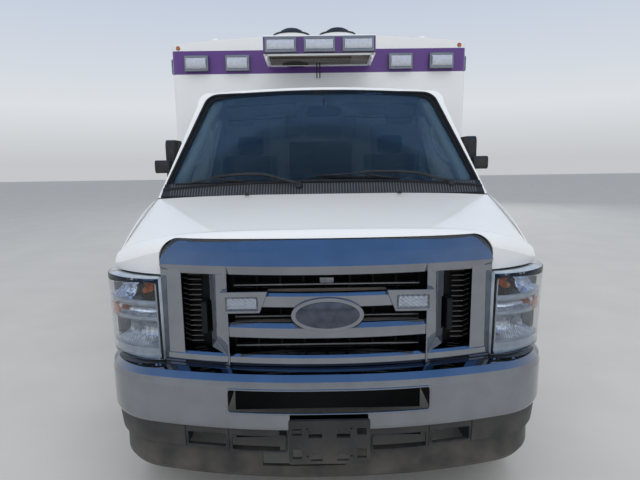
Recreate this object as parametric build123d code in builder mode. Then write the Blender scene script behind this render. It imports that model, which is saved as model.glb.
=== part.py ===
"""Box-bodied ambulance on a cutaway van chassis, at full size.

Millimetres. X runs across (plus is the driver's side), Y backwards, Z up. The origin is on
the ground, midway between the ends. Distances called "aft" start at the foremost face.
"""

import os
from math import asin, cos, degrees, radians, sin

from build123d import *

os.makedirs("parts", exist_ok=True)

# Overall layout
LENGTH = 6940.0
AXLE_FRONT = 840.0
WHEELBASE = 4013.0
AXLE_REAR = AXLE_FRONT + WHEELBASE
TYRE_RADIUS = 372.0
TYRE_WIDTH = 225.0
SIDES = (("left", 1), ("right", -1))

# Cab
CAB_HALF = 1000.0
CAB_BACK = 2310.0
BELT_HALF, BELT_Z = 985.0, 1360.0
SHOULDER = 14.0
SHELL = 45.0
DOOR_THICK = 60.0
DOOR_FRONT, DOOR_REAR, DOOR_SILL = 1285.0, 2235.0, 550.0
DOOR_BELT = 1400.0
DOOR_CROWN = ((1655.0, 1985.0), (DOOR_REAR, 2000.0))
WINDOW_CORNERS = ((1420.0, 1415.0), (2160.0, 1415.0), (2160.0, 1935.0), (1735.0, 1925.0))
GAP = 6.0
CAB_FLOOR_Z = 740.0

# Windscreen: one cylinder whose axis follows the slope of the glass
GLASS_BASE_AFT, GLASS_BASE_Z = 1000.0, 1487.0
GLASS_SLOPE = radians(51)
GLASS_RADIUS = 6390.0
GLASS_LENGTH = 738.0
GLASS_BOTTOM_HALF, GLASS_TOP_HALF = 930.0, 735.0

# Module, the box body behind the cab
MODULE_FRONT, MODULE_REAR = 2370.0, 6688.0
MODULE_HALF = 1206.0
WALL = 50.0
SKIRT_Z = 460.0
FLOOR_BOTTOM, FLOOR_TOP = 760.0, 800.0
WALL_TOP, ROOF_CROWN = 2490.0, 2616.0
ARCH_RADIUS = 450.0
CORNER = 36.0

# Chassis
RAIL_OUT, RAIL_WIDE, RAIL_LOW, RAIL_HIGH = 432.0, 70.0, 520.0, 700.0


def aft(distance):
    """Y of a point that lies this far behind the foremost face."""
    return distance - LENGTH / 2


def keep(builder, label):
    """Labels a finished piece and writes its STEP file."""
    builder.part.label = label
    export_step(builder.part, f"parts/{label}.step")


def block(x, y, z):
    """A box in the current builder between two limits on each axis, y in aft distances."""
    with Locations(((x[0] + x[1]) / 2, aft((y[0] + y[1]) / 2), (z[0] + z[1]) / 2)):
        Box(abs(x[1] - x[0]), abs(y[1] - y[0]), abs(z[1] - z[0]))


def cut_block(x, y, z):
    """Takes the same kind of box away from the current builder."""
    with Locations(((x[0] + x[1]) / 2, aft((y[0] + y[1]) / 2), (z[0] + z[1]) / 2)):
        Box(abs(x[1] - x[0]), abs(y[1] - y[0]), abs(z[1] - z[0]), mode=Mode.SUBTRACT)


def side_plane(x):
    """Sketch plane seen from the driver's side: local x is Y, local y is Z."""
    return Plane(origin=(x, 0, 0), x_dir=(0, 1, 0), z_dir=(1, 0, 0))


def cross_plane(distance):
    """Sketch plane across the vehicle: local x is X, local y is Z, extrudes forwards."""
    return Plane(origin=(0, aft(distance), 0), x_dir=(1, 0, 0), z_dir=(0, -1, 0))


# Cab outer forms

GREENHOUSE = [  # station aft, height of the roof's crown
    (900.0, 2010.0),
    (1500.0, 2078.0),
    (1950.0, 2105.0),
    (CAB_BACK, 2105.0),
]


def greenhouse(inset):
    """The cab above the belt as one closed form, every face moved inwards by the inset."""
    with BuildPart() as form:
        for station, crown in GREENHOUSE:
            with BuildSketch(cross_plane(station - (inset if station == CAB_BACK else 0))):
                with BuildLine():
                    belt = BELT_HALF - SHOULDER - inset
                    side = (800.0 - inset, crown - 105.0 - inset * 0.3)
                    edge = (720.0 - inset, crown - 27.0 - inset)
                    corner = (782.0 - inset, crown - 45.0 - inset * 0.8)
                    Line((belt, BELT_Z), side)
                    ThreePointArc(side, corner, edge)
                    ThreePointArc(edge, (0, crown - inset), (-edge[0], edge[1]))
                    ThreePointArc((-edge[0], edge[1]), (-corner[0], corner[1]), (-side[0], side[1]))
                    Line((-side[0], side[1]), (-belt, BELT_Z))
                    Line((-belt, BELT_Z), (belt, BELT_Z))
                make_face()
        loft()
        add(glass_slab(inset, behind=False), mode=Mode.SUBTRACT)
    return form.part


SLOPE = Vector(0, cos(GLASS_SLOPE), sin(GLASS_SLOPE))
GLASS_ORIGIN = (0, aft(GLASS_BASE_AFT), GLASS_BASE_Z)
ACROSS_GLASS = Plane(origin=GLASS_ORIGIN, x_dir=(1, 0, 0), z_dir=SLOPE)
GLASS_FACE = Plane(origin=GLASS_ORIGIN, x_dir=(1, 0, 0), z_dir=(0, -SLOPE.Z, SLOPE.Y))


def glass_arc(depth):
    """The windscreen's cross section, moved inwards by the depth, as three points."""
    half = 1250.0
    sag = GLASS_RADIUS - (GLASS_RADIUS**2 - half**2) ** 0.5
    return (-half, sag + depth), (0, depth), (half, sag + depth)


def glass_slab(depth, behind):
    """Everything before or behind the windscreen's surface moved inwards by the depth."""
    left, middle, right = glass_arc(depth)
    far = 2500.0 if behind else -1500.0
    with BuildPart() as slab:
        with BuildSketch(ACROSS_GLASS.offset(-900)):
            with BuildLine():
                ThreePointArc(left, middle, right)
                Polyline(right, (right[0], far), (left[0], far), left)
            make_face()
        extrude(amount=2800)
    return slab.part


def glass_outline(margin):
    """The windscreen opening as a sketch on its own face, grown by the margin."""
    low, high = -margin, GLASS_LENGTH + margin
    with BuildSketch(GLASS_FACE.offset(-250)) as outline:
        Polygon(
            (-GLASS_BOTTOM_HALF - margin, low),
            (GLASS_BOTTOM_HALF + margin, low),
            (GLASS_TOP_HALF + margin, high),
            (-GLASS_TOP_HALF - margin, high),
            align=None,
        )
        fillet(outline.vertices(), 60)
    return outline.sketch


def door_outline(inset):
    """The cab door's outline on the centre plane, taken in by the inset."""
    with BuildSketch(side_plane(0)) as outline:
        with BuildLine():
            low_front = (aft(DOOR_FRONT) + inset, DOOR_SILL + inset)
            belt_front = (aft(DOOR_FRONT) + inset, DOOR_BELT)
            top_front = (aft(DOOR_CROWN[0][0]) + inset * 1.2, DOOR_CROWN[0][1] - inset)
            top_rear = (aft(DOOR_CROWN[1][0]) - inset, DOOR_CROWN[1][1] - inset)
            low_rear = (aft(DOOR_REAR) - inset, DOOR_SILL + inset)
            Polyline(low_front, belt_front, top_front, top_rear, low_rear, low_front)
        make_face()
        fillet(outline.vertices().sort_by(Axis.Y)[2:], 45)
    return outline.sketch


def window_outline(x):
    """The door's glass opening on an upright plane at x."""
    with BuildSketch(side_plane(x)) as outline:
        Polygon(*[(aft(y), z) for y, z in WINDOW_CORNERS], align=None)
        fillet(outline.vertices(), 35)
    return outline.sketch


def lower_side(side, thickness, y_from, y_to, z_from=DOOR_SILL, z_to=BELT_Z):
    """The cab's side below the belt as a slightly bowed slab."""
    mid = (z_from + z_to) / 2
    with BuildPart() as slab:
        with BuildSketch(cross_plane(y_from)):
            with BuildLine():
                top = (side * BELT_HALF, z_to)
                waist = (side * (CAB_HALF + 2), mid)
                foot = (side * (BELT_HALF + 4), z_from)
                shift = side * thickness
                ThreePointArc(top, waist, foot)
                Polyline(
                    foot, (foot[0] - shift, foot[1]), (top[0] - shift, top[1]), top
                )
            make_face()
        extrude(amount=-(y_to - y_from))
    return slab.part


outer_cab = greenhouse(0)
inner_cab = greenhouse(SHELL)

# Cab shell and floor

PASS_HALF, PASS_LOW, PASS_HIGH = 260.0, 1180.0, 1760.0
FREE_HALF, FREE_BACK = 958.0, 1045.0

with BuildPart() as cab_shell:
    add(outer_cab)
    add(inner_cab, mode=Mode.SUBTRACT)
    cut_block((-900, 900), (900, CAB_BACK - SHELL), (BELT_Z - 1, BELT_Z + 60))
    cut_block((-FREE_HALF, FREE_HALF), (850, FREE_BACK), (BELT_Z - 1, BELT_Z + 45))
    block((-BELT_HALF + 25, BELT_HALF - 25), (CAB_BACK - SHELL, CAB_BACK), (RAIL_HIGH + GAP, BELT_Z + 10))
    for _, side in SIDES:
        add(lower_side(side, DOOR_THICK, DOOR_REAR + GAP - 10, CAB_BACK))
        add(lower_side(side, DOOR_THICK, DOOR_FRONT - 5, CAB_BACK, DOOR_SILL - 50, DOOR_SILL + 5))
    extrude(door_outline(-GAP + 6), amount=1500, both=True, mode=Mode.SUBTRACT)
    extrude(glass_outline(0), amount=500, mode=Mode.SUBTRACT)
    cut_block((-PASS_HALF, PASS_HALF), (CAB_BACK - 100, CAB_BACK + 10), (PASS_LOW, PASS_HIGH))
keep(cab_shell, "cab_shell")

DOGHOUSE_HALF, DOGHOUSE_BACK, DOGHOUSE_TOP = 300.0, 1760.0, 1180.0
DASH_FRONT, DASH_LOW, DASH_HIGH = 1090.0, 1000.0, 1395.0
PANEL = 20.0
FLOOR_HALF, FLOOR_THICK = 900.0, 40.0
TOE = 1262.0

with BuildPart() as cab_floor:
    block(
        (-FLOOR_HALF, FLOOR_HALF),
        (DOOR_FRONT, CAB_BACK - SHELL),
        (CAB_FLOOR_Z - FLOOR_THICK, CAB_FLOOR_Z),
    )
    with BuildSketch(side_plane(-FLOOR_HALF)):
        Polygon(
            (aft(DOOR_FRONT), CAB_FLOOR_Z - FLOOR_THICK),
            (aft(DOOR_FRONT), CAB_FLOOR_Z),
            (aft(DASH_FRONT), DASH_LOW),
            (aft(DASH_FRONT), DASH_HIGH),
            (aft(DASH_FRONT - PANEL), DASH_HIGH),
            (aft(DASH_FRONT - PANEL), DASH_LOW - 15),
            (aft(TOE), CAB_FLOOR_Z - 10),
            align=None,
        )
    extrude(amount=2 * FLOOR_HALF)
    cut_block(
        (-DOGHOUSE_HALF, DOGHOUSE_HALF), (1000, DOGHOUSE_BACK), (600, DOGHOUSE_TOP)
    )
    block(
        (-DOGHOUSE_HALF - PANEL, DOGHOUSE_HALF + PANEL),
        (DASH_FRONT - 5, DOGHOUSE_BACK + PANEL),
        (CAB_FLOOR_Z - FLOOR_THICK, DOGHOUSE_TOP + PANEL),
    )
    cut_block(
        (-DOGHOUSE_HALF, DOGHOUSE_HALF), (1000, DOGHOUSE_BACK), (600, DOGHOUSE_TOP)
    )
keep(cab_floor, "cab_floor")

with BuildPart() as windscreen:
    extrude(glass_outline(-3), amount=500)
    add(glass_slab(6, behind=True), mode=Mode.INTERSECT)
    add(glass_slab(12, behind=False), mode=Mode.INTERSECT)
keep(windscreen, "windscreen")

# Hood, cowl, fenders

HOOD_THICK = 25.0
HOOD_HALF = 955.0
FACE_LOW = 1136.0
HOOD_SECTIONS = [  # across, front face aft, nose top aft and z, middle z, rear z
    (0.0, 150.0, 222.0, 1326.0, 1388.0, 1438.0),
    (450.0, 170.0, 246.0, 1318.0, 1382.0, 1434.0),
    (720.0, 222.0, 310.0, 1288.0, 1362.0, 1426.0),
    (880.0, 300.0, 392.0, 1240.0, 1338.0, 1416.0),
    (HOOD_HALF, 362.0, 450.0, 1205.0, 1318.0, 1410.0),
]
HOOD_REAR = 1060.0
HOOD_LINE = ((-CAB_HALF, 1030.0), (0.0, 925.0), (CAB_HALF, 1030.0))


def hood_profile(x, face, nose, nose_z, middle_z, rear_z):
    """One fore and aft section of the hood: front face, nose, crowned top, then back inside."""
    middle = (nose + HOOD_REAR) / 2
    t = HOOD_THICK
    drop = min(55.0, (nose_z - FACE_LOW) * 0.6)
    with BuildSketch(side_plane(x)) as profile:
        with BuildLine():
            foot, brow = (aft(face + 12), FACE_LOW), (aft(face), nose_z - drop)
            bend, crest = (aft(face + 22), nose_z - drop * 0.3), (aft(nose), nose_z)
            rear = (aft(HOOD_REAR), rear_z)
            Line(foot, brow)
            ThreePointArc(brow, bend, crest)
            ThreePointArc(crest, (aft(middle), middle_z), rear)
            Line(rear, (aft(HOOD_REAR), rear_z - t))
            inner_crest = (aft(nose + 8), nose_z - t)
            ThreePointArc((aft(HOOD_REAR), rear_z - t), (aft(middle), middle_z - t), inner_crest)
            inner_brow = (aft(face + t), nose_z - drop - 7)
            inner_bend = (aft(face + 22 + t * 0.7), nose_z - drop * 0.3 - t * 0.7)
            ThreePointArc(inner_crest, inner_bend, inner_brow)
            Line(inner_brow, (aft(face + 12 + t), FACE_LOW))
            Line((aft(face + 12 + t), FACE_LOW), foot)
        make_face()
    return profile.sketch


def behind_line(shift, reach):
    """A tall slab with the hood's curved rear line as its front edge."""
    with BuildPart() as slab:
        with BuildSketch(Plane.XY.offset(1000)):
            with BuildLine():
                points = [(x, aft(y + shift)) for x, y in HOOD_LINE]
                ThreePointArc(*points)
                Polyline(points[2], (CAB_HALF, aft(reach)), (-CAB_HALF, aft(reach)), points[0])
            make_face()
        extrude(amount=700)
    return slab.part


GRILLE_HALF, GRILLE_LOW, GRILLE_HIGH = 705.0, 757.0, 1289.0


def grille_outline(margin):
    """The grille surround's outer outline seen from the front, grown by the margin."""
    with BuildSketch(cross_plane(600)) as outline:
        with Locations((0, (GRILLE_LOW + GRILLE_HIGH) / 2)):
            Rectangle(2 * (GRILLE_HALF + margin), GRILLE_HIGH - GRILLE_LOW + 2 * margin)
        fillet(outline.vertices().group_by(Axis.Y)[-1], 88)
    return outline.sketch


with BuildPart() as hood:
    rows = [(-x, *rest) for x, *rest in reversed(HOOD_SECTIONS[1:])] + HOOD_SECTIONS
    for row in rows:
        add(hood_profile(*row))
    loft()
    add(behind_line(-4, 1300), mode=Mode.SUBTRACT)
    extrude(grille_outline(5), amount=700, mode=Mode.SUBTRACT)
keep(hood, "hood")

FACE_RADIUS = 2500.0


def bowed_bar(points, front, half, radius=FACE_RADIUS):
    """Revolves a section, given as aft and z, about an upright axis far behind its foremost point."""
    axis = Axis((0, aft(front + radius), 0), (0, 0, 1))
    with BuildPart() as bar:
        with BuildSketch(side_plane(0)):
            Polygon(*[(aft(y), z) for y, z in points], align=None)
        revolve(axis=axis, revolution_arc=degrees(asin(half / radius)))
        mirror(about=Plane.YZ)
    return bar.part


COWL_HALF = 940.0
COWL_FRONT, COWL_FOOT = 927.0, 1402.0
COWL_RISE = [(COWL_FRONT, 1412.0), (960.0, 1450.0), (988.0, 1480.0), (996.0, 1485.0), (1150.0, 1487.0)]
LINE_BOW = HOOD_LINE[0][1] - HOOD_LINE[1][1]
LINE_RADIUS = (CAB_HALF**2 + LINE_BOW**2) / (2 * LINE_BOW)

with BuildPart() as cowl:
    section = COWL_RISE + [(COWL_RISE[-1][0], COWL_FOOT), (COWL_FRONT, COWL_FOOT)]
    add(bowed_bar(section, HOOD_LINE[1][1], COWL_HALF, LINE_RADIUS))
    add(glass_slab(-1, behind=True), mode=Mode.SUBTRACT)
keep(cowl, "cowl")

FENDER_THICK = 22.0
FENDER_STATIONS = [  # aft, shoulder height at the hood's edge
    (440.0, 1192.0),
    (700.0, 1318.0),
    (1030.0, 1408.0),
    (DOOR_FRONT - GAP, 1420.0),
]
LAMP_IN, LAMP_OUT, LAMP_LOW, LAMP_HIGH = 716.0, 1002.0, 768.0, 1128.0
LAMP_BACK = 452.0


def fender(side):
    """A front fender: bowed side wall and rolled shoulder, with the wheel arch cut out."""
    t = FENDER_THICK
    with BuildPart() as panel:
        for station, top in FENDER_STATIONS:
            with BuildSketch(cross_plane(station)):
                with BuildLine():
                    foot, waist = (side * (BELT_HALF + 4), 590.0), (side * CAB_HALF, 930.0)
                    edge = (side * (BELT_HALF + 4), top - 62)
                    seam = (side * (HOOD_HALF + 5), top - 4)
                    turn = (side * (BELT_HALF - 4), top - 26)
                    ThreePointArc(foot, waist, edge)
                    ThreePointArc(edge, turn, seam)
                    Line(seam, (seam[0] - side, seam[1] - t))
                    inner_edge = (edge[0] - side * t, edge[1] - 6)
                    ThreePointArc(
                        (seam[0] - side, seam[1] - t),
                        (turn[0] - side * t * 0.75, turn[1] - t * 0.75),
                        inner_edge,
                    )
                    ThreePointArc(inner_edge, (waist[0] - side * t, 930.0), (foot[0] - side * t, 590.0))
                    Line((foot[0] - side * t, 590.0), foot)
                make_face()
        loft()
        with Locations((side * CAB_HALF, aft(AXLE_FRONT), TYRE_RADIUS)):
            Cylinder(430, 300, rotation=(0, 90, 0), mode=Mode.SUBTRACT)
        cut_block((side * 800, side * 1100), (AXLE_FRONT - 440, AXLE_FRONT + 380), (500, 640))
        cut_block((side * 800, side * 1100), (LAMP_BACK - 30, LAMP_BACK), (500, LAMP_HIGH + 2))
        add(outer_cab, mode=Mode.SUBTRACT)
    return panel.part


with BuildPart() as fenders:
    add(fender(1))
    add(mirror(fender(1), about=Plane.YZ))
keep(fenders, "front_fenders")

HOUSE_FRONT, HOUSE_IN, HOUSE_LOW, HOUSE_HIGH, HOUSE_SHEET = 460.0, 640.0, 800.0, 1150.0, 15.0

with BuildPart() as wheelhouses:
    with BuildSketch(cross_plane(HOUSE_FRONT)):
        Polygon(
            (HOUSE_IN, HOUSE_HIGH),
            (HOUSE_IN, HOUSE_LOW),
            (HOOD_HALF, HOUSE_LOW),
            (HOOD_HALF, HOUSE_LOW + HOUSE_SHEET),
            (HOUSE_IN + HOUSE_SHEET, HOUSE_LOW + HOUSE_SHEET),
            (HOUSE_IN + HOUSE_SHEET, HOUSE_HIGH),
            align=None,
        )
    extrude(amount=-(DASH_FRONT - PANEL - 5 - HOUSE_FRONT))
    mirror(about=Plane.YZ)
keep(wheelhouses, "wheelhouses")

# Grille and lamps

def bowed_plate(thickness, front, low, high, half):
    """A bowed upright plate, its outer face on the front's curve."""
    points = [(front, low), (front, high), (front + thickness, high), (front + thickness, low)]
    return bowed_bar(points, front, half)


GRILLE_FRONT = 105.0
LIP_Z, BROW_Z, SILL_TOP = 1150.0, 1187.0, 818.0
INLET_FRONT = (650.0, 100.0)
INLET_BACK = (566.0, 300.0)
DIVIDER_EDGE, DIVIDER_OUT, DIVIDER_THICK = 413.0, 510.0, 64.0
CENTRE_BARS = [  # foremost aft, then z of the lower edge, bevel and upper edge
    (108.0, 1017.0, 1063.0, 1075.0),
    (108.0, 884.0, 926.0, 945.0),
]
MARKER_SHAPE = [(434.0, 999.0), (434.0, 1088.0), (243.0, 1088.0), (277.0, 999.0)]
MARKER_FRONT, MARKER_BACK, MARKER_DEEP = 98.0, 168.0, 14.0
MARKER_LENS = (282.0, 414.0, 1009.0, 1066.0)
BOSS_HALF, BOSS_TALL, BOSS_Z = 148.0, 72.0, 986.0

with BuildPart() as grille:
    brow = [
        (GRILLE_FRONT + 10, LIP_Z),
        (GRILLE_FRONT - 2, BROW_Z),
        (GRILLE_FRONT + 28, 1240),
        (GRILLE_FRONT + 58, GRILLE_HIGH + 1),
        (GRILLE_FRONT + 95, GRILLE_HIGH + 1),
        (GRILLE_FRONT + 75, LIP_Z),
    ]
    add(bowed_bar(brow, GRILLE_FRONT, GRILLE_HALF))
    sill = [
        (GRILLE_FRONT + 75, SILL_TOP),
        (GRILLE_FRONT + 46, SILL_TOP),
        (GRILLE_FRONT + 14, 807),
        (GRILLE_FRONT + 2, 797),
        (GRILLE_FRONT + 2, 772),
        (GRILLE_FRONT + 12, GRILLE_LOW),
        (GRILLE_FRONT + 75, GRILLE_LOW),
    ]
    add(bowed_bar(sill, GRILLE_FRONT, GRILLE_HALF))
    with BuildPart(mode=Mode.PRIVATE) as uprights:
        add(bowed_plate(70, GRILLE_FRONT + 6, GRILLE_LOW, BROW_Z, GRILLE_HALF))
        with BuildSketch(Plane.XY):
            Polygon(
                (-INLET_FRONT[0], aft(INLET_FRONT[1])),
                (INLET_FRONT[0], aft(INLET_FRONT[1])),
                (INLET_BACK[0], aft(INLET_BACK[1])),
                (-INLET_BACK[0], aft(INLET_BACK[1])),
                align=None,
            )
        extrude(amount=2000, mode=Mode.SUBTRACT)
    add(uprights.part)
    with BuildPart(mode=Mode.PRIVATE) as dividers:
        add(bowed_plate(DIVIDER_THICK, GRILLE_FRONT - 4, GRILLE_LOW, BROW_Z, DIVIDER_OUT))
        cut_block((-DIVIDER_EDGE, DIVIDER_EDGE), (0, 400), (0, 2000))
        for _, side in SIDES:
            with BuildSketch(Plane.XY):
                Polygon(
                    (side * (DIVIDER_EDGE + 5), aft(0)),
                    (side * (DIVIDER_EDGE + 5), aft(GRILLE_FRONT + 35)),
                    (side * (DIVIDER_OUT - 2), aft(GRILLE_FRONT + 108)),
                    (side * (DIVIDER_OUT + 10), aft(GRILLE_FRONT + 120)),
                    (side * (DIVIDER_OUT + 10), aft(0)),
                    align=None,
                )
            extrude(amount=2000, mode=Mode.SUBTRACT)
    add(dividers.part)
    for front, low, bevel, high in CENTRE_BARS:
        section = [
            (front + 30, low + 2),
            (front, low),
            (front - 2, bevel),
            (front + 12, high),
            (front + 48, high - 4),
            (front + 48, low + 2),
        ]
        add(bowed_bar(section, front, DIVIDER_EDGE + 8))
    for _, side in SIDES:
        with BuildSketch(cross_plane(MARKER_BACK)):
            Polygon(*[(side * x, z) for x, z in MARKER_SHAPE], align=None)
        extrude(amount=MARKER_BACK - MARKER_FRONT)
        lens_in, lens_out, lens_low, lens_high = MARKER_LENS
        cut_block(
            (side * lens_in, side * lens_out),
            (MARKER_FRONT - 10, MARKER_FRONT + MARKER_DEEP),
            (lens_low, lens_high),
        )
    with BuildSketch(cross_plane(160)):
        with Locations((0, BOSS_Z)):
            Ellipse(BOSS_HALF, BOSS_TALL)
    extrude(amount=64)
    extrude(grille_outline(0), amount=700, mode=Mode.INTERSECT)
keep(grille, "grille")

SLATS = [  # z from, z to, depth
    (1084.0, 1090.0, 36.0),
    (1046.0, 1070.0, 8.0),
    (945.0, 951.0, 36.0),
    (915.0, 935.0, 8.0),
    (815.0, 821.0, 36.0),
    (780.0, 800.0, 8.0),
]
SLAT_FRONT, SLAT_HALF = 215.0, 400.0
RADIATOR_HALF = 600.0
RADIATOR_FRONT, RADIATOR_BACK = 330.0, 380.0
POST_PITCH, POST_HALF = 100.0, 4.0

with BuildPart() as radiator:
    block((-RADIATOR_HALF, RADIATOR_HALF), (RADIATOR_FRONT, RADIATOR_BACK), (665, 1140))
    for z_from, z_to, depth in SLATS:
        back = SLAT_FRONT + depth
        points = [(SLAT_FRONT, z_from), (SLAT_FRONT, z_to), (back, z_to), (back, z_from)]
        add(bowed_bar(points, SLAT_FRONT, SLAT_HALF))
    for number in range(-4, 5):
        x = number * POST_PITCH
        block((x - POST_HALF, x + POST_HALF), (228, RADIATOR_FRONT + 5), (780, 1132))
    for _, side in SIDES:
        block((side * 515, side * 538), (200, RADIATOR_FRONT + 5), (880, 1017))
keep(radiator, "radiator")


def lamp_body(margin):
    """A corner lamp between the grille and the fender, wrapped round in plan."""
    inner, outer = LAMP_IN + margin, LAMP_OUT - margin
    with BuildPart() as lamp:
        with BuildSketch(Plane.XY.offset(LAMP_LOW + margin)):
            with BuildLine():
                start, end = (inner, aft(190 + margin)), (outer - 14, aft(LAMP_BACK - 16 - margin))
                ThreePointArc(start, (905, aft(262 + margin)), (975 - margin, aft(345 + margin)))
                Polyline(
                    (975 - margin, aft(345 + margin)),
                    end,
                    (outer - 80, end[1]),
                    (outer - 90, aft(385)),
                    (inner, aft(290)),
                    start,
                )
            make_face()
        extrude(amount=LAMP_HIGH - LAMP_LOW - 2 * margin, taper=-1.2)
    return lamp.part


with BuildPart() as headlamps:
    add(lamp_body(0))
    add(mirror(lamp_body(0), about=Plane.YZ))
keep(headlamps, "headlamps")

# Bumper, air dam, bracket

BUMPER_LOW, BUMPER_HIGH = 515.0, 755.0
BUMPER_FRONT = 34.0
SLOT_HALF, SLOT_LOW, SLOT_HIGH = 422.0, 588.0, 690.0


def bumper_path(front, half, back):
    """Half of the bumper's plan line: a long bow, a corner, then a short return."""
    with BuildLine(Plane.XY) as path:
        start, bow_end = (0, aft(front)), (760, aft(front + 96))
        bow = ThreePointArc(start, (390, aft(front + 22)), bow_end)
        corner_end = (half, aft(back))
        TangentArc(bow_end, corner_end, tangent=bow % 1)
    return path.line


def swept_band(section, front, half, back):
    """Sweeps a closed section, given as aft and z, along the bumper's plan line."""
    with BuildPart() as band:
        with BuildSketch(side_plane(0)):
            Polygon(*[(aft(y), z) for y, z in section], align=None)
        sweep(path=bumper_path(front, half, back))
        mirror(about=Plane.YZ)
    return band.part


with BuildPart() as bumper:
    skin = [
        (BUMPER_FRONT + 4, BUMPER_LOW),
        (BUMPER_FRONT, BUMPER_LOW + 14),
        (BUMPER_FRONT, 690),
        (BUMPER_FRONT + 6, 722),
        (BUMPER_FRONT + 26, 746),
        (BUMPER_FRONT + 58, BUMPER_HIGH),
        (BUMPER_FRONT + 92, BUMPER_HIGH),
        (BUMPER_FRONT + 92, BUMPER_HIGH - 8),
        (BUMPER_FRONT + 60, BUMPER_HIGH - 9),
        (BUMPER_FRONT + 33, 739),
        (BUMPER_FRONT + 15, 718),
        (BUMPER_FRONT + 9, 688),
        (BUMPER_FRONT + 9, BUMPER_LOW + 14),
        (BUMPER_FRONT + 30, BUMPER_LOW),
    ]
    add(swept_band(skin, BUMPER_FRONT, 1010, 400))
    with BuildSketch(cross_plane(300)) as slot:
        with Locations((0, (SLOT_LOW + SLOT_HIGH) / 2)):
            Trapezoid(2 * SLOT_HALF, SLOT_HIGH - SLOT_LOW, 84)
        fillet(slot.vertices(), 14)
    extrude(amount=400, mode=Mode.SUBTRACT)
keep(bumper, "front_bumper")

DAM_SLOTS = [(180.0, 408.0, 414.0, 482.0), (432.0, 600.0, 425.0, 484.0)]
DAM_OPENING = [  # across and z
    (-206.0, 560.0),
    (-208.0, 405.0),
    (-284.0, 403.0),
    (-282.0, 330.0),
    (65.0, 334.0),
    (88.0, 352.0),
    (88.0, 560.0),
]
PLATE_HALF, PLATE_LOW, PLATE_HIGH = 165.0, 388.0, 578.0
PLATE_HOLE_X, PLATE_HOLE_Z, PLATE_HOLE_R = 177.8, 120.65, 3.5

with BuildPart() as air_dam:
    skin = [
        (BUMPER_FRONT + 12, BUMPER_LOW - 2),
        (BUMPER_FRONT + 14, 470),
        (BUMPER_FRONT + 20, 410),
        (BUMPER_FRONT + 40, 400),
        (BUMPER_FRONT + 38, 292),
        (BUMPER_FRONT + 52, 270),
        (BUMPER_FRONT + 70, 270),
        (BUMPER_FRONT + 56, 296),
        (BUMPER_FRONT + 58, 408),
        (BUMPER_FRONT + 36, 420),
        (BUMPER_FRONT + 28, 470),
        (BUMPER_FRONT + 26, BUMPER_LOW - 2),
    ]
    add(swept_band(skin, BUMPER_FRONT + 12, 992, 398))
    for _, side in SIDES:
        for near, far, low, high in DAM_SLOTS:
            cut_block((side * near, side * far), (0, 240), (low, high))
    with BuildSketch(cross_plane(240)):
        Polygon(*DAM_OPENING, align=None)
    extrude(amount=240, mode=Mode.SUBTRACT)
keep(air_dam, "air_dam")

BRACKET_HOLES = [  # x from, x to, z from, z to, counted from the plate's centre
    (-150, -112, 32, 60),
    (-84, -30, 20, 52),
    (30, 84, 20, 52),
    (112, 150, 32, 60),
    (-150, -112, -70, -28),
    (-78, -30, -82, -52),
    (30, 78, -82, -52),
    (112, 150, -70, -28),
]

with BuildPart() as bracket:
    centre_z = (PLATE_LOW + PLATE_HIGH) / 2
    with BuildSketch(cross_plane(14)) as outline:
        with Locations((0, centre_z)):
            Rectangle(2 * PLATE_HALF, PLATE_HIGH - PLATE_LOW)
        fillet(outline.vertices(), 8)
    extrude(amount=14)
    with BuildSketch(cross_plane(9)) as recess:
        with Locations((0, centre_z)):
            Rectangle(2 * PLATE_HALF - 20, PLATE_HIGH - PLATE_LOW - 20)
        fillet(recess.vertices(), 6)
    extrude(amount=3, mode=Mode.SUBTRACT)
    for x_from, x_to, z_from, z_to in BRACKET_HOLES:
        cut_block((x_from, x_to), (-5, 40), (centre_z + z_from, centre_z + z_to))
    with Locations(cross_plane(0)):
        with Locations((0, centre_z)):
            with GridLocations(PLATE_HOLE_X, PLATE_HOLE_Z, 2, 2):
                Hole(PLATE_HOLE_R, depth=20)
    block((-100, 100), (14, BUMPER_FRONT + 11), (centre_z - 10, centre_z + 10))
keep(bracket, "plate_bracket")

# Cab doors and mirrors

MIRROR_DEEP, ARM_REACH = 52.0, 92.0

for name, side in SIDES:
    with BuildPart() as door:
        add(outer_cab)
        add(inner_cab, mode=Mode.SUBTRACT)
        cut_block((-BELT_HALF, BELT_HALF), (800, CAB_BACK + 10), (BELT_Z - 1, BELT_Z))
        cut_block((-side * 1200, side * 500), (800, CAB_BACK + 10), (BELT_Z - 10, 2200))
        add(lower_side(side, DOOR_THICK, DOOR_FRONT - 40, DOOR_REAR + 20))
        with BuildPart(mode=Mode.PRIVATE) as region:
            extrude(door_outline(GAP), amount=side * 1500)
        add(region.part, mode=Mode.INTERSECT)
        extrude(window_outline(0), amount=side * 1500, mode=Mode.SUBTRACT)
    keep(door, f"cab_door_{name}")

    with BuildPart() as pane:
        add(greenhouse(20))
        add(greenhouse(25), mode=Mode.SUBTRACT)
        extrude(window_outline(side * 500), amount=side * 700, mode=Mode.INTERSECT)
    keep(pane, f"cab_window_{name}")

    with BuildPart() as mirror_head:
        with BuildSketch(side_plane(side * 996)) as head:
            with Locations((aft(1640), 1612)):
                Rectangle(230, 290)
            fillet(head.vertices(), 40)
        extrude(amount=side * MIRROR_DEEP)
        with BuildSketch(side_plane(side * 1000)) as knuckle:
            with Locations((aft(1470), 1580)):
                Rectangle(110, 84)
            fillet(knuckle.vertices(), 25)
        extrude(amount=side * ARM_REACH)
        with BuildSketch(side_plane(side * 880)) as sail:
            Polygon((aft(1370), 1440), (aft(1530), 1440), (aft(1530), 1622), (aft(1490), 1622), align=None)
        extrude(amount=side * 126)
        add(outer_cab, mode=Mode.SUBTRACT)
    keep(mirror_head, f"mirror_{name}")

# Cab interior

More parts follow.
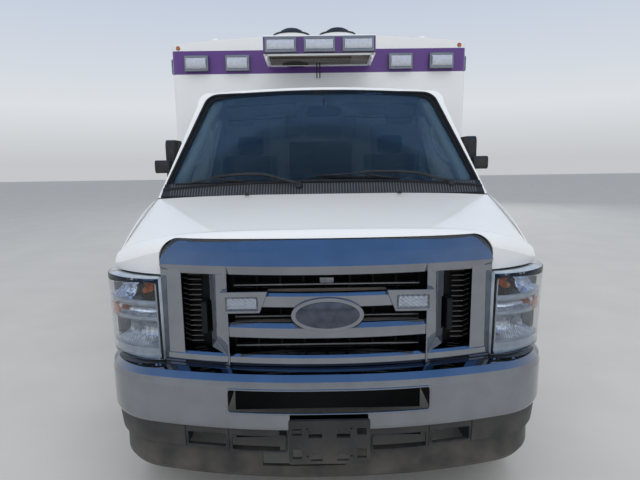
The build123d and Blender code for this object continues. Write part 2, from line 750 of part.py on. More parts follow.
DASH_HALF, DASH_OPEN = 860.0, 330.0
DASH_SECTION = [  # aft and z
    (1095.0, 1160.0),
    (1095.0, 1398.0),
    (1180.0, 1424.0),
    (1320.0, 1418.0),
    (1385.0, 1380.0),
    (1400.0, 1290.0),
    (1350.0, 1170.0),
]
SEAT_BLOCKS = [  # across from, to, aft from, to, z from, to
    (335.0, 785.0, 1620.0, 2100.0, 955.0, 1090.0),
    (400.0, 720.0, 1720.0, 2040.0, CAB_FLOOR_Z, 960.0),
    (460.0, 660.0, 2150.0, 2225.0, 1650.0, 1800.0),
]
SEAT_BACK = [(2040.0, 1060.0), (2150.0, 1060.0), (2235.0, 1640.0), (2150.0, 1660.0)]
BACK_IN, BACK_WIDE = 345.0, 430.0
WHEEL_X, WHEEL_AFT, WHEEL_Z = 540.0, 1490.0, 1345.0
COLUMN_TILT = 32.0

with BuildPart() as dashboard:
    with BuildSketch(side_plane(-DASH_HALF)):
        Polygon(*[(aft(y), z) for y, z in DASH_SECTION], align=None)
    extrude(amount=2 * DASH_HALF)
    cut_block((-DASH_OPEN, DASH_OPEN), (DASH_FRONT, 1500), (1100, DOGHOUSE_TOP + PANEL + 6))
    with Locations(
        Location((WHEEL_X, aft(WHEEL_AFT - 125), WHEEL_Z - 78), (COLUMN_TILT - 90, 0, 0))
    ):
        Cylinder(34, 210)
keep(dashboard, "dashboard")

with BuildPart() as steering_wheel:
    with Locations(Location((WHEEL_X, aft(WHEEL_AFT), WHEEL_Z), (COLUMN_TILT - 90, 0, 0))):
        Torus(188, 14)
        Cylinder(52, 46)
        for angle in (0, 120, 240):
            with PolarLocations(104, 1, start_angle=angle + 90):
                Box(180, 34, 14)
keep(steering_wheel, "steering_wheel")

with BuildPart() as seats:
    for _, side in SIDES:
        for x_from, x_to, y_from, y_to, z_from, z_to in SEAT_BLOCKS:
            block((side * x_from, side * x_to), (y_from, y_to), (z_from, z_to))
        with BuildSketch(side_plane(side * BACK_IN)):
            Polygon(*[(aft(y), z) for y, z in SEAT_BACK], align=None)
        extrude(amount=side * BACK_WIDE)
keep(seats, "seats")

# Module openings

LOCKERS = [  # name, side, opening from, to, low, high
    ("front_left", 1, 2500.0, 3150.0, 520.0, 2150.0),
    ("middle_left", 1, 3250.0, 4300.0, 520.0, 1450.0),
    ("rear_left", 1, 5400.0, 6450.0, 520.0, 1750.0),
    ("rear_right", -1, 5500.0, 6450.0, 520.0, 2100.0),
]
LOCKER_DEPTH = 440.0
SHEET = 15.0
ENTRY_FRONT, ENTRY_REAR, ENTRY_LOW, ENTRY_HIGH = 2620.0, 3420.0, 580.0, 2290.0
STEP_DEPTH, STEP_Z = 380.0, 560.0
REAR_HALF, REAR_LOW, REAR_HIGH = 626.0, 800.0, 2290.0
WHEELBOX_REACH, WHEELBOX_IN, WHEELBOX_TOP = 470.0, 690.0, 900.0
INNER_HALF = MODULE_HALF - WALL
COT_HALF, COT_FRONT, COT_REAR, COT_TOP = 300.0, 4300.0, 6400.0, 805.0
ENTRY_WINDOW = (2770.0, 3270.0, 1480.0, 2080.0)
REAR_WINDOW = (120.0, 500.0, 1500.0, 2060.0)

# Module panels

with BuildPart() as module_floor:
    block((-INNER_HALF, INNER_HALF), (MODULE_FRONT + WALL, MODULE_REAR - WALL), (FLOOR_BOTTOM, FLOOR_TOP))
    for _, side, front, rear, low, high in LOCKERS:
        cut_block(
            (side * (INNER_HALF - LOCKER_DEPTH - SHEET), side * (INNER_HALF + 1)),
            (front - SHEET, rear + SHEET),
            (low, high),
        )
    for _, side in SIDES:
        box_y = (AXLE_REAR - WHEELBOX_REACH, AXLE_REAR + WHEELBOX_REACH)
        block(
            (side * WHEELBOX_IN, side * INNER_HALF),
            (box_y[0] - SHEET, box_y[1] + SHEET),
            (FLOOR_BOTTOM, WHEELBOX_TOP),
        )
        cut_block(
            (side * (WHEELBOX_IN + SHEET), side * (INNER_HALF + 1)),
            box_y,
            (FLOOR_BOTTOM - 1, WHEELBOX_TOP - SHEET),
        )
    well_x = (-INNER_HALF, -(INNER_HALF - STEP_DEPTH))
    block(well_x, (ENTRY_FRONT, ENTRY_REAR), (STEP_Z - SHEET, FLOOR_TOP))
    cut_block(
        (well_x[0] - 1, well_x[1] - SHEET),
        (ENTRY_FRONT + SHEET, ENTRY_REAR - SHEET),
        (STEP_Z, FLOOR_TOP + 1),
    )
    block((-COT_HALF, COT_HALF), (COT_FRONT, COT_REAR), (FLOOR_TOP - 1, COT_TOP))
keep(module_floor, "module_floor")

for name, side in SIDES:
    with BuildPart() as wall:
        block((side * INNER_HALF, side * MODULE_HALF), (MODULE_FRONT, MODULE_REAR), (SKIRT_Z, WALL_TOP))
        outer = wall.edges().filter_by(Axis.Z).group_by(Axis.X)[-1 if side > 0 else 0]
        fillet(outer, CORNER)
        with Locations((side * MODULE_HALF, aft(AXLE_REAR), TYRE_RADIUS)):
            Cylinder(ARCH_RADIUS, 300, rotation=(0, 90, 0), mode=Mode.SUBTRACT)
        for _, locker_side, front, rear, low, high in LOCKERS:
            if locker_side == side:
                cut_block((side * 1100, side * 1300), (front, rear), (low, high))
        if side < 0:
            cut_block((-1300, -1100), (ENTRY_FRONT, ENTRY_REAR), (ENTRY_LOW, ENTRY_HIGH))
    keep(wall, f"module_{name}_wall")

BOOT = 40.0

with BuildPart() as module_front_wall:
    block((-INNER_HALF, INNER_HALF), (MODULE_FRONT, MODULE_FRONT + WALL), (RAIL_HIGH + GAP, WALL_TOP))
    block(
        (-PASS_HALF - BOOT, PASS_HALF + BOOT),
        (CAB_BACK, MODULE_FRONT),
        (PASS_LOW - BOOT, PASS_HIGH + BOOT),
    )
    cut_block((-PASS_HALF, PASS_HALF), (2300, 2500), (PASS_LOW, PASS_HIGH))
keep(module_front_wall, "module_front_wall")

with BuildPart() as module_rear_wall:
    block((-INNER_HALF, INNER_HALF), (MODULE_REAR - WALL, MODULE_REAR), (600, WALL_TOP))
    cut_block((-REAR_HALF, REAR_HALF), (6600, 6700), (REAR_LOW, REAR_HIGH))
keep(module_rear_wall, "module_rear_wall")

with BuildPart() as module_roof:
    with BuildSketch(cross_plane(MODULE_REAR)):
        with BuildLine():
            low, shoulder, edge = (MODULE_HALF, WALL_TOP), (MODULE_HALF, 2520), (1160, 2558)
            bend = (1193, 2547)
            Line((-low[0], low[1]), low)
            Line(low, shoulder)
            ThreePointArc(shoulder, bend, edge)
            ThreePointArc(edge, (0, ROOF_CROWN), (-edge[0], edge[1]))
            ThreePointArc((-edge[0], edge[1]), (-bend[0], bend[1]), (-shoulder[0], shoulder[1]))
            Line((-shoulder[0], shoulder[1]), (-low[0], low[1]))
        make_face()
    extrude(amount=MODULE_REAR - MODULE_FRONT)
    with BuildSketch(Plane.XY.offset(WALL_TOP)) as plan:
        with Locations((0, aft((MODULE_FRONT + MODULE_REAR) / 2))):
            Rectangle(2 * MODULE_HALF, MODULE_REAR - MODULE_FRONT)
        fillet(plan.vertices(), CORNER)
    extrude(amount=200, mode=Mode.INTERSECT)
keep(module_roof, "module_roof")

# Module doors

for name, side, front, rear, low, high in LOCKERS:
    with BuildPart() as locker_door:
        block(
            (side * INNER_HALF, side * MODULE_HALF),
            (front + GAP, rear - GAP),
            (low + GAP, high - GAP),
        )
    keep(locker_door, f"locker_door_{name}")

with BuildPart() as entry_door:
    block(
        (-MODULE_HALF, -INNER_HALF),
        (ENTRY_FRONT + GAP, ENTRY_REAR - GAP),
        (ENTRY_LOW + GAP, ENTRY_HIGH - GAP),
    )
    cut_block((-1300, -1100), ENTRY_WINDOW[0:2], ENTRY_WINDOW[2:4])
keep(entry_door, "entry_door")

for name, side in SIDES:
    with BuildPart() as rear_door:
        block(
            (side * GAP / 2, side * (REAR_HALF - GAP)),
            (MODULE_REAR - WALL, MODULE_REAR),
            (REAR_LOW + GAP, REAR_HIGH - GAP),
        )
        cut_block((side * REAR_WINDOW[0], side * REAR_WINDOW[1]), (6600, 6700), REAR_WINDOW[2:4])
    keep(rear_door, f"rear_door_{name}")

# Lockers and cabinets

with BuildPart() as lockers:
    for _, side, front, rear, low, high in LOCKERS:
        back = INNER_HALF - LOCKER_DEPTH
        block(
            (side * (back - SHEET), side * INNER_HALF),
            (front - SHEET, rear + SHEET),
            (low - SHEET, high + SHEET),
        )
        cut_block((side * back, side * (INNER_HALF + 1)), (front, rear), (low, high))
keep(lockers, "lockers")

CABINET_FACE = 716.0
BENCH_IN, BENCH_TOP = 640.0, 1200.0
BENCH_FRONT, BENCH_REAR = 3460.0, 5470.0

with BuildPart() as cabinets:
    block((CABINET_FACE, INNER_HALF), (3180, 5370), (1480, 2460))
    block((CABINET_FACE, INNER_HALF), (4330, 5370), (WHEELBOX_TOP, 1480))
    block((-BENCH_IN, -INNER_HALF), (BENCH_FRONT, BENCH_REAR), (FLOOR_TOP, BENCH_TOP))
    cut_block(
        (-WHEELBOX_IN, -INNER_HALF - 1),
        (AXLE_REAR - WHEELBOX_REACH - SHEET, AXLE_REAR + WHEELBOX_REACH + SHEET),
        (FLOOR_TOP - 1, WHEELBOX_TOP),
    )
keep(cabinets, "cabinets")

CUSHIONS = [  # across from, to, aft from, to, z from, to
    (-650.0, -1090.0, 3480.0, 4120.0, 1200.0, 1290.0),
    (-650.0, -1090.0, 4140.0, 4780.0, 1200.0, 1290.0),
    (-650.0, -1090.0, 4800.0, 5440.0, 1200.0, 1290.0),
    (-1100.0, -1156.0, 3480.0, 5440.0, 1330.0, 1800.0),
    (-300.0, 300.0, 2420.0, 2460.0, 1830.0, 1960.0),
]

with BuildPart() as cushions:
    for x_from, x_to, y_from, y_to, z_from, z_to in CUSHIONS:
        block((x_from, x_to), (y_from, y_to), (z_from, z_to))
keep(cushions, "bench_cushions")

# Outside fittings

CONDENSER_HALF = 420.0
CONDENSER_FRONT, CONDENSER_LOW, CONDENSER_HIGH = 2000.0, 2395.0, 2529.0
CONDENSER_FOOT = 2368.0
FAN_AFT, FANS = 2160.0, (-212.0, 142.0)
FAN_COVER = [(0.0, 2604.0), (55.0, 2604.0), (82.0, 2590.0), (96.0, 2572.0), (140.0, 2562.0)]

with BuildPart() as condenser:
    with BuildSketch(side_plane(-CONDENSER_HALF)):
        Polygon(
            (aft(CONDENSER_FRONT), CONDENSER_LOW),
            (aft(CONDENSER_FRONT), CONDENSER_HIGH - 9),
            (aft(CONDENSER_FRONT + 10), CONDENSER_HIGH),
            (aft(MODULE_FRONT), CONDENSER_HIGH + 16),
            (aft(MODULE_FRONT), CONDENSER_FOOT),
            (aft(MODULE_FRONT - 60), CONDENSER_FOOT),
            align=None,
        )
    extrude(amount=2 * CONDENSER_HALF)
    for x in FANS:
        cover = FAN_COVER + [(FAN_COVER[-1][0], CONDENSER_HIGH), (0, CONDENSER_HIGH)]
        with BuildSketch(Plane(origin=(x, aft(FAN_AFT), 0), x_dir=(1, 0, 0), z_dir=(0, -1, 0))):
            Polygon(*cover, align=None)
        revolve(axis=Axis((x, aft(FAN_AFT), 0), (0, 0, 1)))
keep(condenser, "condenser")

LAMP_HALF, LAMP_TALL, LAMP_DEEP = 97.0, 62.0, 40.0
LAMP_Z = 2398.0
FASCIA_LAMPS, FASCIA_HALF, FASCIA_Z, FASCIA_DEEP = (-288.0, 0.0, 288.0), 117.0, (2403.0, 2510.0), 24.0
FRONT_LAMPS = (665.0, 998.0)
SIDE_LAMPS = [2560.0, 3050.0, 4480.0, 5900.0, 6420.0]
REAR_LAMPS = (300.0, 780.0, 1050.0)
TAIL_LAMPS = [(1030.0, 960.0), (1030.0, 1130.0), (1030.0, 1300.0)]

with BuildPart() as body_lamps:
    for _, side in SIDES:
        for x in FRONT_LAMPS:
            block(
                (side * x - LAMP_HALF, side * x + LAMP_HALF),
                (MODULE_FRONT - LAMP_DEEP, MODULE_FRONT),
                (LAMP_Z - LAMP_TALL, LAMP_Z + LAMP_TALL),
            )
        for y in SIDE_LAMPS:
            block(
                (side * MODULE_HALF, side * (MODULE_HALF + 34)),
                (y - LAMP_HALF, y + LAMP_HALF),
                (LAMP_Z - LAMP_TALL, LAMP_Z + LAMP_TALL),
            )
        for x in REAR_LAMPS:
            block(
                (side * x - LAMP_HALF, side * x + LAMP_HALF),
                (MODULE_REAR, MODULE_REAR + 34),
                (LAMP_Z - LAMP_TALL, LAMP_Z + LAMP_TALL),
            )
        for x, z in TAIL_LAMPS:
            block(
                (side * x - 78, side * x + 78),
                (MODULE_REAR, MODULE_REAR + 34),
                (z - 78, z + 78),
            )
    for x in FASCIA_LAMPS:
        block((x - FASCIA_HALF, x + FASCIA_HALF), (CONDENSER_FRONT - FASCIA_DEEP, CONDENSER_FRONT), FASCIA_Z)
keep(body_lamps, "body_lamps")

BOARD_IN, BOARD_OUT, BOARD_Z = 760.0, 1012.0, 420.0
BOARD_FRONT, BOARD_REAR, BOARD_SHEET, BOARD_LIP = 1310.0, 2340.0, 12.0, 50.0
HANGERS, HANGER_HALF, HANGER_TOP = (1780.0, 2200.0), 20.0, 600.0
STEP_HALF, STEP_TOP, STEP_LOW = 1105.0, 590.0, 430.0
STEP_FRONT, STEP_SHEET = MODULE_REAR + 30.0, 14.0

with BuildPart() as steps:
    for _, side in SIDES:
        under = BOARD_Z - BOARD_SHEET
        edge = BOARD_OUT - BOARD_SHEET
        block((side * BOARD_IN, side * BOARD_OUT), (BOARD_FRONT, BOARD_REAR), (under, BOARD_Z))
        block((side * edge, side * BOARD_OUT), (BOARD_FRONT, BOARD_REAR), (BOARD_Z - BOARD_LIP, BOARD_Z))
        for y in HANGERS:
            along = (y - HANGER_HALF, y + HANGER_HALF)
            block((side * RAIL_OUT, side * edge), along, (BOARD_Z - 40, under))
            block((side * RAIL_OUT, side * (RAIL_OUT + 10)), along, (BOARD_Z - 40, HANGER_TOP))
    block((-STEP_HALF, STEP_HALF), (STEP_FRONT, LENGTH), (STEP_TOP - STEP_SHEET, STEP_TOP))
    block((-STEP_HALF, STEP_HALF), (LENGTH - STEP_SHEET, LENGTH), (STEP_LOW, STEP_TOP))
    for _, side in SIDES:
        block(
            (side * (STEP_HALF - STEP_SHEET), side * STEP_HALF),
            (STEP_FRONT, LENGTH),
            (STEP_LOW, STEP_TOP),
        )
        block(
            (side * RAIL_OUT, side * (RAIL_OUT + 30)),
            (6300, LENGTH - STEP_SHEET),
            (RAIL_LOW, STEP_TOP - STEP_SHEET),
        )
keep(steps, "steps")

# Chassis

CROSSMEMBERS = [  # aft, z from, z to, depth
    (500.0, 540.0, 640.0, 80.0),
    (2700.0, 606.0, 690.0, 80.0),
    (3700.0, 580.0, 690.0, 80.0),
    (5500.0, 560.0, 690.0, 80.0),
    (6590.0, 540.0, 690.0, 80.0),
]
MOUNTS = [2560.0, 3480.0, 4380.0, 5380.0, 6380.0]
RAIL_FRONT, RAIL_REAR = 420.0, 6630.0
RAIL_SHEET = 8.0
HORN = (84.0, 700.0, 560.0, 660.0)
TOWER_HALF = 62.0
MOUNT_RADIUS = 34.0
SPRING_X, SPRING_RADIUS = 560.0, 52.0

with BuildPart() as frame:
    for _, side in SIDES:
        with BuildSketch(cross_plane(RAIL_REAR)):
            inner = RAIL_OUT - RAIL_WIDE
            Polygon(
                (side * RAIL_OUT, RAIL_LOW),
                (side * RAIL_OUT, RAIL_HIGH),
                (side * inner, RAIL_HIGH),
                (side * inner, RAIL_HIGH - RAIL_SHEET),
                (side * (RAIL_OUT - RAIL_SHEET), RAIL_HIGH - RAIL_SHEET),
                (side * (RAIL_OUT - RAIL_SHEET), RAIL_LOW + RAIL_SHEET),
                (side * inner, RAIL_LOW + RAIL_SHEET),
                (side * inner, RAIL_LOW),
                align=None,
            )
        extrude(amount=RAIL_REAR - RAIL_FRONT)
        block(
            (side * RAIL_OUT, side * (SPRING_X + TOWER_HALF - 2)),
            (AXLE_FRONT - TOWER_HALF, AXLE_FRONT + TOWER_HALF),
            (640, 690),
        )
        for y in MOUNTS:
            with Locations((side * (RAIL_OUT - 35), aft(y), (RAIL_HIGH + FLOOR_BOTTOM) / 2)):
                Cylinder(MOUNT_RADIUS, FLOOR_BOTTOM - RAIL_HIGH)
    for y, z_from, z_to, depth in CROSSMEMBERS:
        block((-RAIL_OUT + 4, RAIL_OUT - 4), (y - depth / 2, y + depth / 2), (z_from, z_to))
    block((-RAIL_OUT + 4, RAIL_OUT - 4), (880, 980), (470, 560))
keep(frame, "frame")

with BuildPart() as bumper_brackets:
    for _, side in SIDES:
        block((side * RAIL_OUT, side * (RAIL_OUT + 10)), HORN[0:2], HORN[2:4])
keep(bumper_brackets, "bumper_brackets")

with BuildPart() as engine:
    block((-265, 265), (720, 1590), (600, 1110))
keep(engine, "engine")


def rod(start, end, radius):
    """A round bar between two points given as across, aft, up."""
    with BuildPart() as bar:
        with BuildLine() as path:
            Line((start[0], aft(start[1]), start[2]), (end[0], aft(end[1]), end[2]))
        with BuildSketch(Plane(origin=path.line @ 0, z_dir=path.line % 0)):
            Circle(radius)
        sweep(path=path.line)
    return bar.part


with BuildPart() as drivetrain:
    add(rod((0, 1592, 640), (0, 1745, 640), 165))
    add(rod((0, 1745, 570), (0, 2380, 555), 105))
    add(rod((0, 2380, 548), (0, AXLE_REAR - 250, 398), 42))
keep(drivetrain, "drivetrain")

with BuildPart() as exhaust:
    with BuildLine() as pipe:
        FilletPolyline(
            (-280, aft(1700), 470),
            (-280, aft(4020), 470),
            (-620, aft(4270), 430),
            (-1190, aft(4330), 425),
            radius=120,
        )
    with BuildSketch(Plane(origin=pipe.line @ 0, z_dir=pipe.line % 0)):
        Circle(30)
    sweep(path=pipe.line)
    add(rod((-280, 2900, 450), (-280, 3560, 450), 88))
keep(exhaust, "exhaust")

with BuildPart() as fuel_tank:
    block((-340, 340), (5580, 6500), (400, 680))
    fillet(fuel_tank.edges().filter_by(Axis.Y), 50)
keep(fuel_tank, "fuel_tank")

# Axles and knuckles

FRONT_TRACK_X, KINGPIN_X = 885.0, 790.0
TWIN_OUT, TWIN_IN = 1085.0, 835.0
KINGPIN_RADIUS, EYE_RADIUS = 14.0, 32.0

with BuildPart() as front_axle:
    block((-KINGPIN_X, KINGPIN_X), (AXLE_FRONT - 26, AXLE_FRONT + 26), (342, 402))
    for _, side in SIDES:
        with Locations((side * KINGPIN_X, aft(AXLE_FRONT), TYRE_RADIUS)):
            Cylinder(EYE_RADIUS, 70)
            Cylinder(KINGPIN_RADIUS, 168)
        with Locations((side * SPRING_X, aft(AXLE_FRONT), 520)):
            Cylinder(SPRING_RADIUS, 240)
        add(rod((side * 500, AXLE_FRONT + 20, 372), (side * 425, 1640, 484), 26))
        block((side * 400, side * RAIL_OUT), (1600, 1690), (470, 519))
    add(rod((-600, 965, 330), (600, 965, 330), 16))
keep(front_axle, "front_axle")


def spin(points, distance):
    """Revolves a section, given as across and radius, about an axle's line."""
    with BuildPart() as form:
        with BuildSketch(cross_plane(distance)):
            Polygon(*[(x, TYRE_RADIUS + r) for x, r in points], align=None)
        revolve(axis=Axis((0, aft(distance), TYRE_RADIUS), (1, 0, 0)))
    return form.part


for name, side in SIDES:
    with BuildPart() as knuckle:
        for z in (TYRE_RADIUS - 58, TYRE_RADIUS + 58):
            with Locations((side * KINGPIN_X, aft(AXLE_FRONT), z)):
                Cylinder(36, 32)
            block((side * KINGPIN_X, side * 848), (AXLE_FRONT - 34, AXLE_FRONT + 34), (z - 16, z + 16))
        block(
            (side * 832, side * 858),
            (AXLE_FRONT - 34, AXLE_FRONT + 34),
            (TYRE_RADIUS - 74, TYRE_RADIUS + 74),
        )
        with Locations((side * KINGPIN_X, aft(AXLE_FRONT), TYRE_RADIUS)):
            Cylinder(KINGPIN_RADIUS + 6, 300, mode=Mode.SUBTRACT)
        add(rod((side * 850, AXLE_FRONT, TYRE_RADIUS), (side * 980, AXLE_FRONT, TYRE_RADIUS), 22))
        add(rod((side * 862, AXLE_FRONT, TYRE_RADIUS), (side * 884, AXLE_FRONT, TYRE_RADIUS), 158))
    keep(knuckle, f"knuckle_{name}")

AXLE_STEPS = [  # across, radius: stub, hub, drum, axle tube, differential housing
    (1040.0, 0.0),
    (1040.0, 30.0),
    (932.0, 30.0),
    (932.0, 80.0),
    (880.0, 80.0),
    (880.0, 150.0),
    (735.0, 150.0),
    (735.0, 48.0),
    (190.0, 48.0),
    (130.0, 120.0),
    (62.0, 160.0),
]

with BuildPart() as rear_axle:
    add(spin(AXLE_STEPS + [(-x, r) for x, r in reversed(AXLE_STEPS)], AXLE_REAR))
    add(rod((0, AXLE_REAR - 240, TYRE_RADIUS + 20), (0, AXLE_REAR, TYRE_RADIUS), 70))
    for _, side in SIDES:
        with BuildSketch(side_plane(side * 455)):
            with BuildLine():
                left, right = aft(AXLE_REAR - 640), aft(AXLE_REAR + 640)
                ThreePointArc((left, 548), (aft(AXLE_REAR), 470), (right, 548))
                Line((right, 548), (right, 530))
                ThreePointArc((right, 530), (aft(AXLE_REAR), 412), (left, 530))
                Line((left, 530), (left, 548))
            make_face()
        extrude(amount=side * 70)
        for y in (AXLE_REAR - 625, AXLE_REAR + 625):
            block((side * RAIL_OUT, side * 525), (y - 25, y + 25), (528, 620))
keep(rear_axle, "rear_axle")

# Wheels

RIM_HALF, FLANGE, BEAD_SEAT, WELL = 98.0, 216.0, 203.0, 186.0
HAND_HOLES, HAND_RADIUS, HAND_CIRCLE = 8, 21.0, 146.0
HUB_BORE_REAR, HUB_BORE_FRONT = 36.0, 28.0


def tyre(centre, distance):
    """A tyre of the road size: crowned tread, round shoulders and bulged side walls."""
    half = TYRE_WIDTH / 2
    with BuildPart() as form:
        with BuildSketch(Plane(origin=(centre, aft(distance), TYRE_RADIUS))):
            with BuildLine():
                Line((-90, 204), (90, 204))
                Line((90, 204), (90, 222))
                ThreePointArc((90, 222), (half, 284), (100, 344))
                ThreePointArc((100, 344), (92, 360), (76, 368))
                ThreePointArc((76, 368), (0, TYRE_RADIUS), (-76, 368))
                ThreePointArc((-76, 368), (-92, 360), (-100, 344))
                ThreePointArc((-100, 344), (-half, 284), (-90, 222))
                Line((-90, 222), (-90, 204))
            make_face()
        revolve(axis=Axis((0, aft(distance), TYRE_RADIUS), (1, 0, 0)))
    return form.part


def rim(centre, distance, dish, face, bore):
    """A steel rim whose disc dishes out or in to the face, with hand holes and a hub bore."""
    with BuildPart() as wheel:
        barrel = [
            (-RIM_HALF, FLANGE),
            (-RIM_HALF + 8, FLANGE),
            (-RIM_HALF + 8, BEAD_SEAT),
            (-62, BEAD_SEAT),
            (-48, WELL),
            (48, WELL),
            (62, BEAD_SEAT),
            (RIM_HALF - 8, BEAD_SEAT),
            (RIM_HALF - 8, FLANGE),
            (RIM_HALF, FLANGE),
            (RIM_HALF, BEAD_SEAT - 8),
            (66, BEAD_SEAT - 8),
            (52, WELL - 8),
            (-52, WELL - 8),
            (-66, BEAD_SEAT - 8),
            (-RIM_HALF, BEAD_SEAT - 8),
        ]
        add(spin([(centre + u, r) for u, r in barrel], distance))
        disc = [
            (centre + dish * 30, WELL - 4),
            (centre + dish * 48, WELL - 4),
            (face, 118),
            (face, bore),
            (face - dish * 12, bore),
            (face - dish * 12, 114),
        ]
        add(spin(disc, distance))
        with Locations(Plane(origin=(face, aft(distance), TYRE_RADIUS), z_dir=(1, 0, 0))):
            with PolarLocations(HAND_CIRCLE, HAND_HOLES, start_angle=22.5):
                Cylinder(HAND_RADIUS, 140, mode=Mode.SUBTRACT)
    return wheel.part


for name, side in SIDES:
    with BuildPart() as front_tyre:
        add(tyre(side * FRONT_TRACK_X, AXLE_FRONT))
    keep(front_tyre, f"front_tyre_{name}")

    with BuildPart() as front_rim:
        add(rim(side * FRONT_TRACK_X, AXLE_FRONT, side, side * 972, HUB_BORE_FRONT))
        hub = [
            (side * 961, 74),
            (side * 1004, 70),
            (side * 1010, 52),
            (side * 1010, 0),
            (side * 990, 0),
            (side * 990, HUB_BORE_FRONT),
            (side * 900, HUB_BORE_FRONT),
            (side * 900, 60),
            (side * 961, 60),
        ]
        add(spin(hub, AXLE_FRONT))
    keep(front_rim, f"front_rim_{name}")

    with BuildPart() as rear_tyres:
        add(tyre(side * TWIN_OUT, AXLE_REAR))
        add(tyre(side * TWIN_IN, AXLE_REAR))
    keep(rear_tyres, f"rear_tyres_{name}")

    with BuildPart() as rear_rims:
        add(rim(side * TWIN_OUT, AXLE_REAR, -side, side * 960, HUB_BORE_REAR))
        add(rim(side * TWIN_IN, AXLE_REAR, side, side * 960, HUB_BORE_REAR))
        hub = [
            (side * 950, 96),
            (side * 1030, 92),
            (side * 1078, 70),
            (side * 1084, 0),
            (side * 1050, 0),
            (side * 1050, HUB_BORE_REAR),
            (side * 950, HUB_BORE_REAR),
        ]
        add(spin(hub, AXLE_REAR))
    keep(rear_rims, f"rear_rims_{name}")
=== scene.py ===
"""Looks of the box-bodied ambulance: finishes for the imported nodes, and the trim on them.

Metres. X runs across (plus is the driver's side), Y backwards, Z up, as in the frame.
"""

import math

import bmesh
import bpy
from mathutils import Matrix, Vector
from mathutils.bvhtree import BVHTree


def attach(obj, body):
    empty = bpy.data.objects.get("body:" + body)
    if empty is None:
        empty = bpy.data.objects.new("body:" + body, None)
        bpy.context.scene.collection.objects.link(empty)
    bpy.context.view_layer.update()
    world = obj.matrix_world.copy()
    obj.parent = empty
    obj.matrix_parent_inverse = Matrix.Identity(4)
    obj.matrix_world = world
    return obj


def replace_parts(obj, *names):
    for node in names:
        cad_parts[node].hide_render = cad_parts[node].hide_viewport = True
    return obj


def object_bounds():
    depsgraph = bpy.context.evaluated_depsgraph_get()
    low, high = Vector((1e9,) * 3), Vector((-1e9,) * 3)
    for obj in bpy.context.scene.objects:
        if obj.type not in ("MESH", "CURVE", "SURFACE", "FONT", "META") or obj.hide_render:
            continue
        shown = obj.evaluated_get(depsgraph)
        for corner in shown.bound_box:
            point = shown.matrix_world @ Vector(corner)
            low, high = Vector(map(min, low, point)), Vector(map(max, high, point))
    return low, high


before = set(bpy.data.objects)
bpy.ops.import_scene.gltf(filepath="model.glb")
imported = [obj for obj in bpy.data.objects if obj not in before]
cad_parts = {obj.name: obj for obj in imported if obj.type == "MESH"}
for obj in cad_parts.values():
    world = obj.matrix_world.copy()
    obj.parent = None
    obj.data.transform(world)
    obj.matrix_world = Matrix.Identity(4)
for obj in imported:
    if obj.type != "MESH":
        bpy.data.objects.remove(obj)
CAD_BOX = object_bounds()
ROOT = "vehicle"
FRONT = CAD_BOX[0][1]
SIDES = (("left", 1), ("right", -1))
ALONG, UP = (0, 1, 0), (0, 0, 1)
FULL_TURN = 2 * math.pi


def aft(distance):
    """Y of a point that lies this many metres behind the foremost face."""
    return FRONT + distance


# Finishes


def linear(red, green, blue):
    """A colour given as 0 to 255 screen values, as the shader wants it."""
    steps = [value / 255 for value in (red, green, blue)]
    return tuple(v / 12.92 if v <= 0.04045 else ((v + 0.055) / 1.055) ** 2.4 for v in steps) + (1,)


def dimmed(colour, share):
    """This share of a colour's light."""
    return tuple(value * share for value in colour[:3]) + (1,)


def feed(tree, socket, value):
    """Links a field to a shader socket, or sets the socket to a value."""
    if isinstance(value, bpy.types.NodeSocket):
        tree.links.new(value, socket)
    else:
        socket.default_value = value


def add_node(tree, kind, out, settings=(), **inputs):
    """One output of a new node, with its settings made and its named inputs linked or set."""
    node = tree.nodes.new("ShaderNode" + kind)
    for key, value in settings:
        setattr(node, key, value)
    for key, value in inputs.items():
        feed(tree, node.inputs[key.replace("_", " ")], value)
    return node.outputs[out]


def add_math(tree, operation, first, second):
    """A math node on two fields or numbers."""
    node = tree.nodes.new("ShaderNodeMath")
    node.operation = operation
    for socket, value in zip(node.inputs, (first, second)):
        feed(tree, socket, value)
    return node.outputs["Value"]


MIX_COLOURS = (("data_type", "RGBA"),)


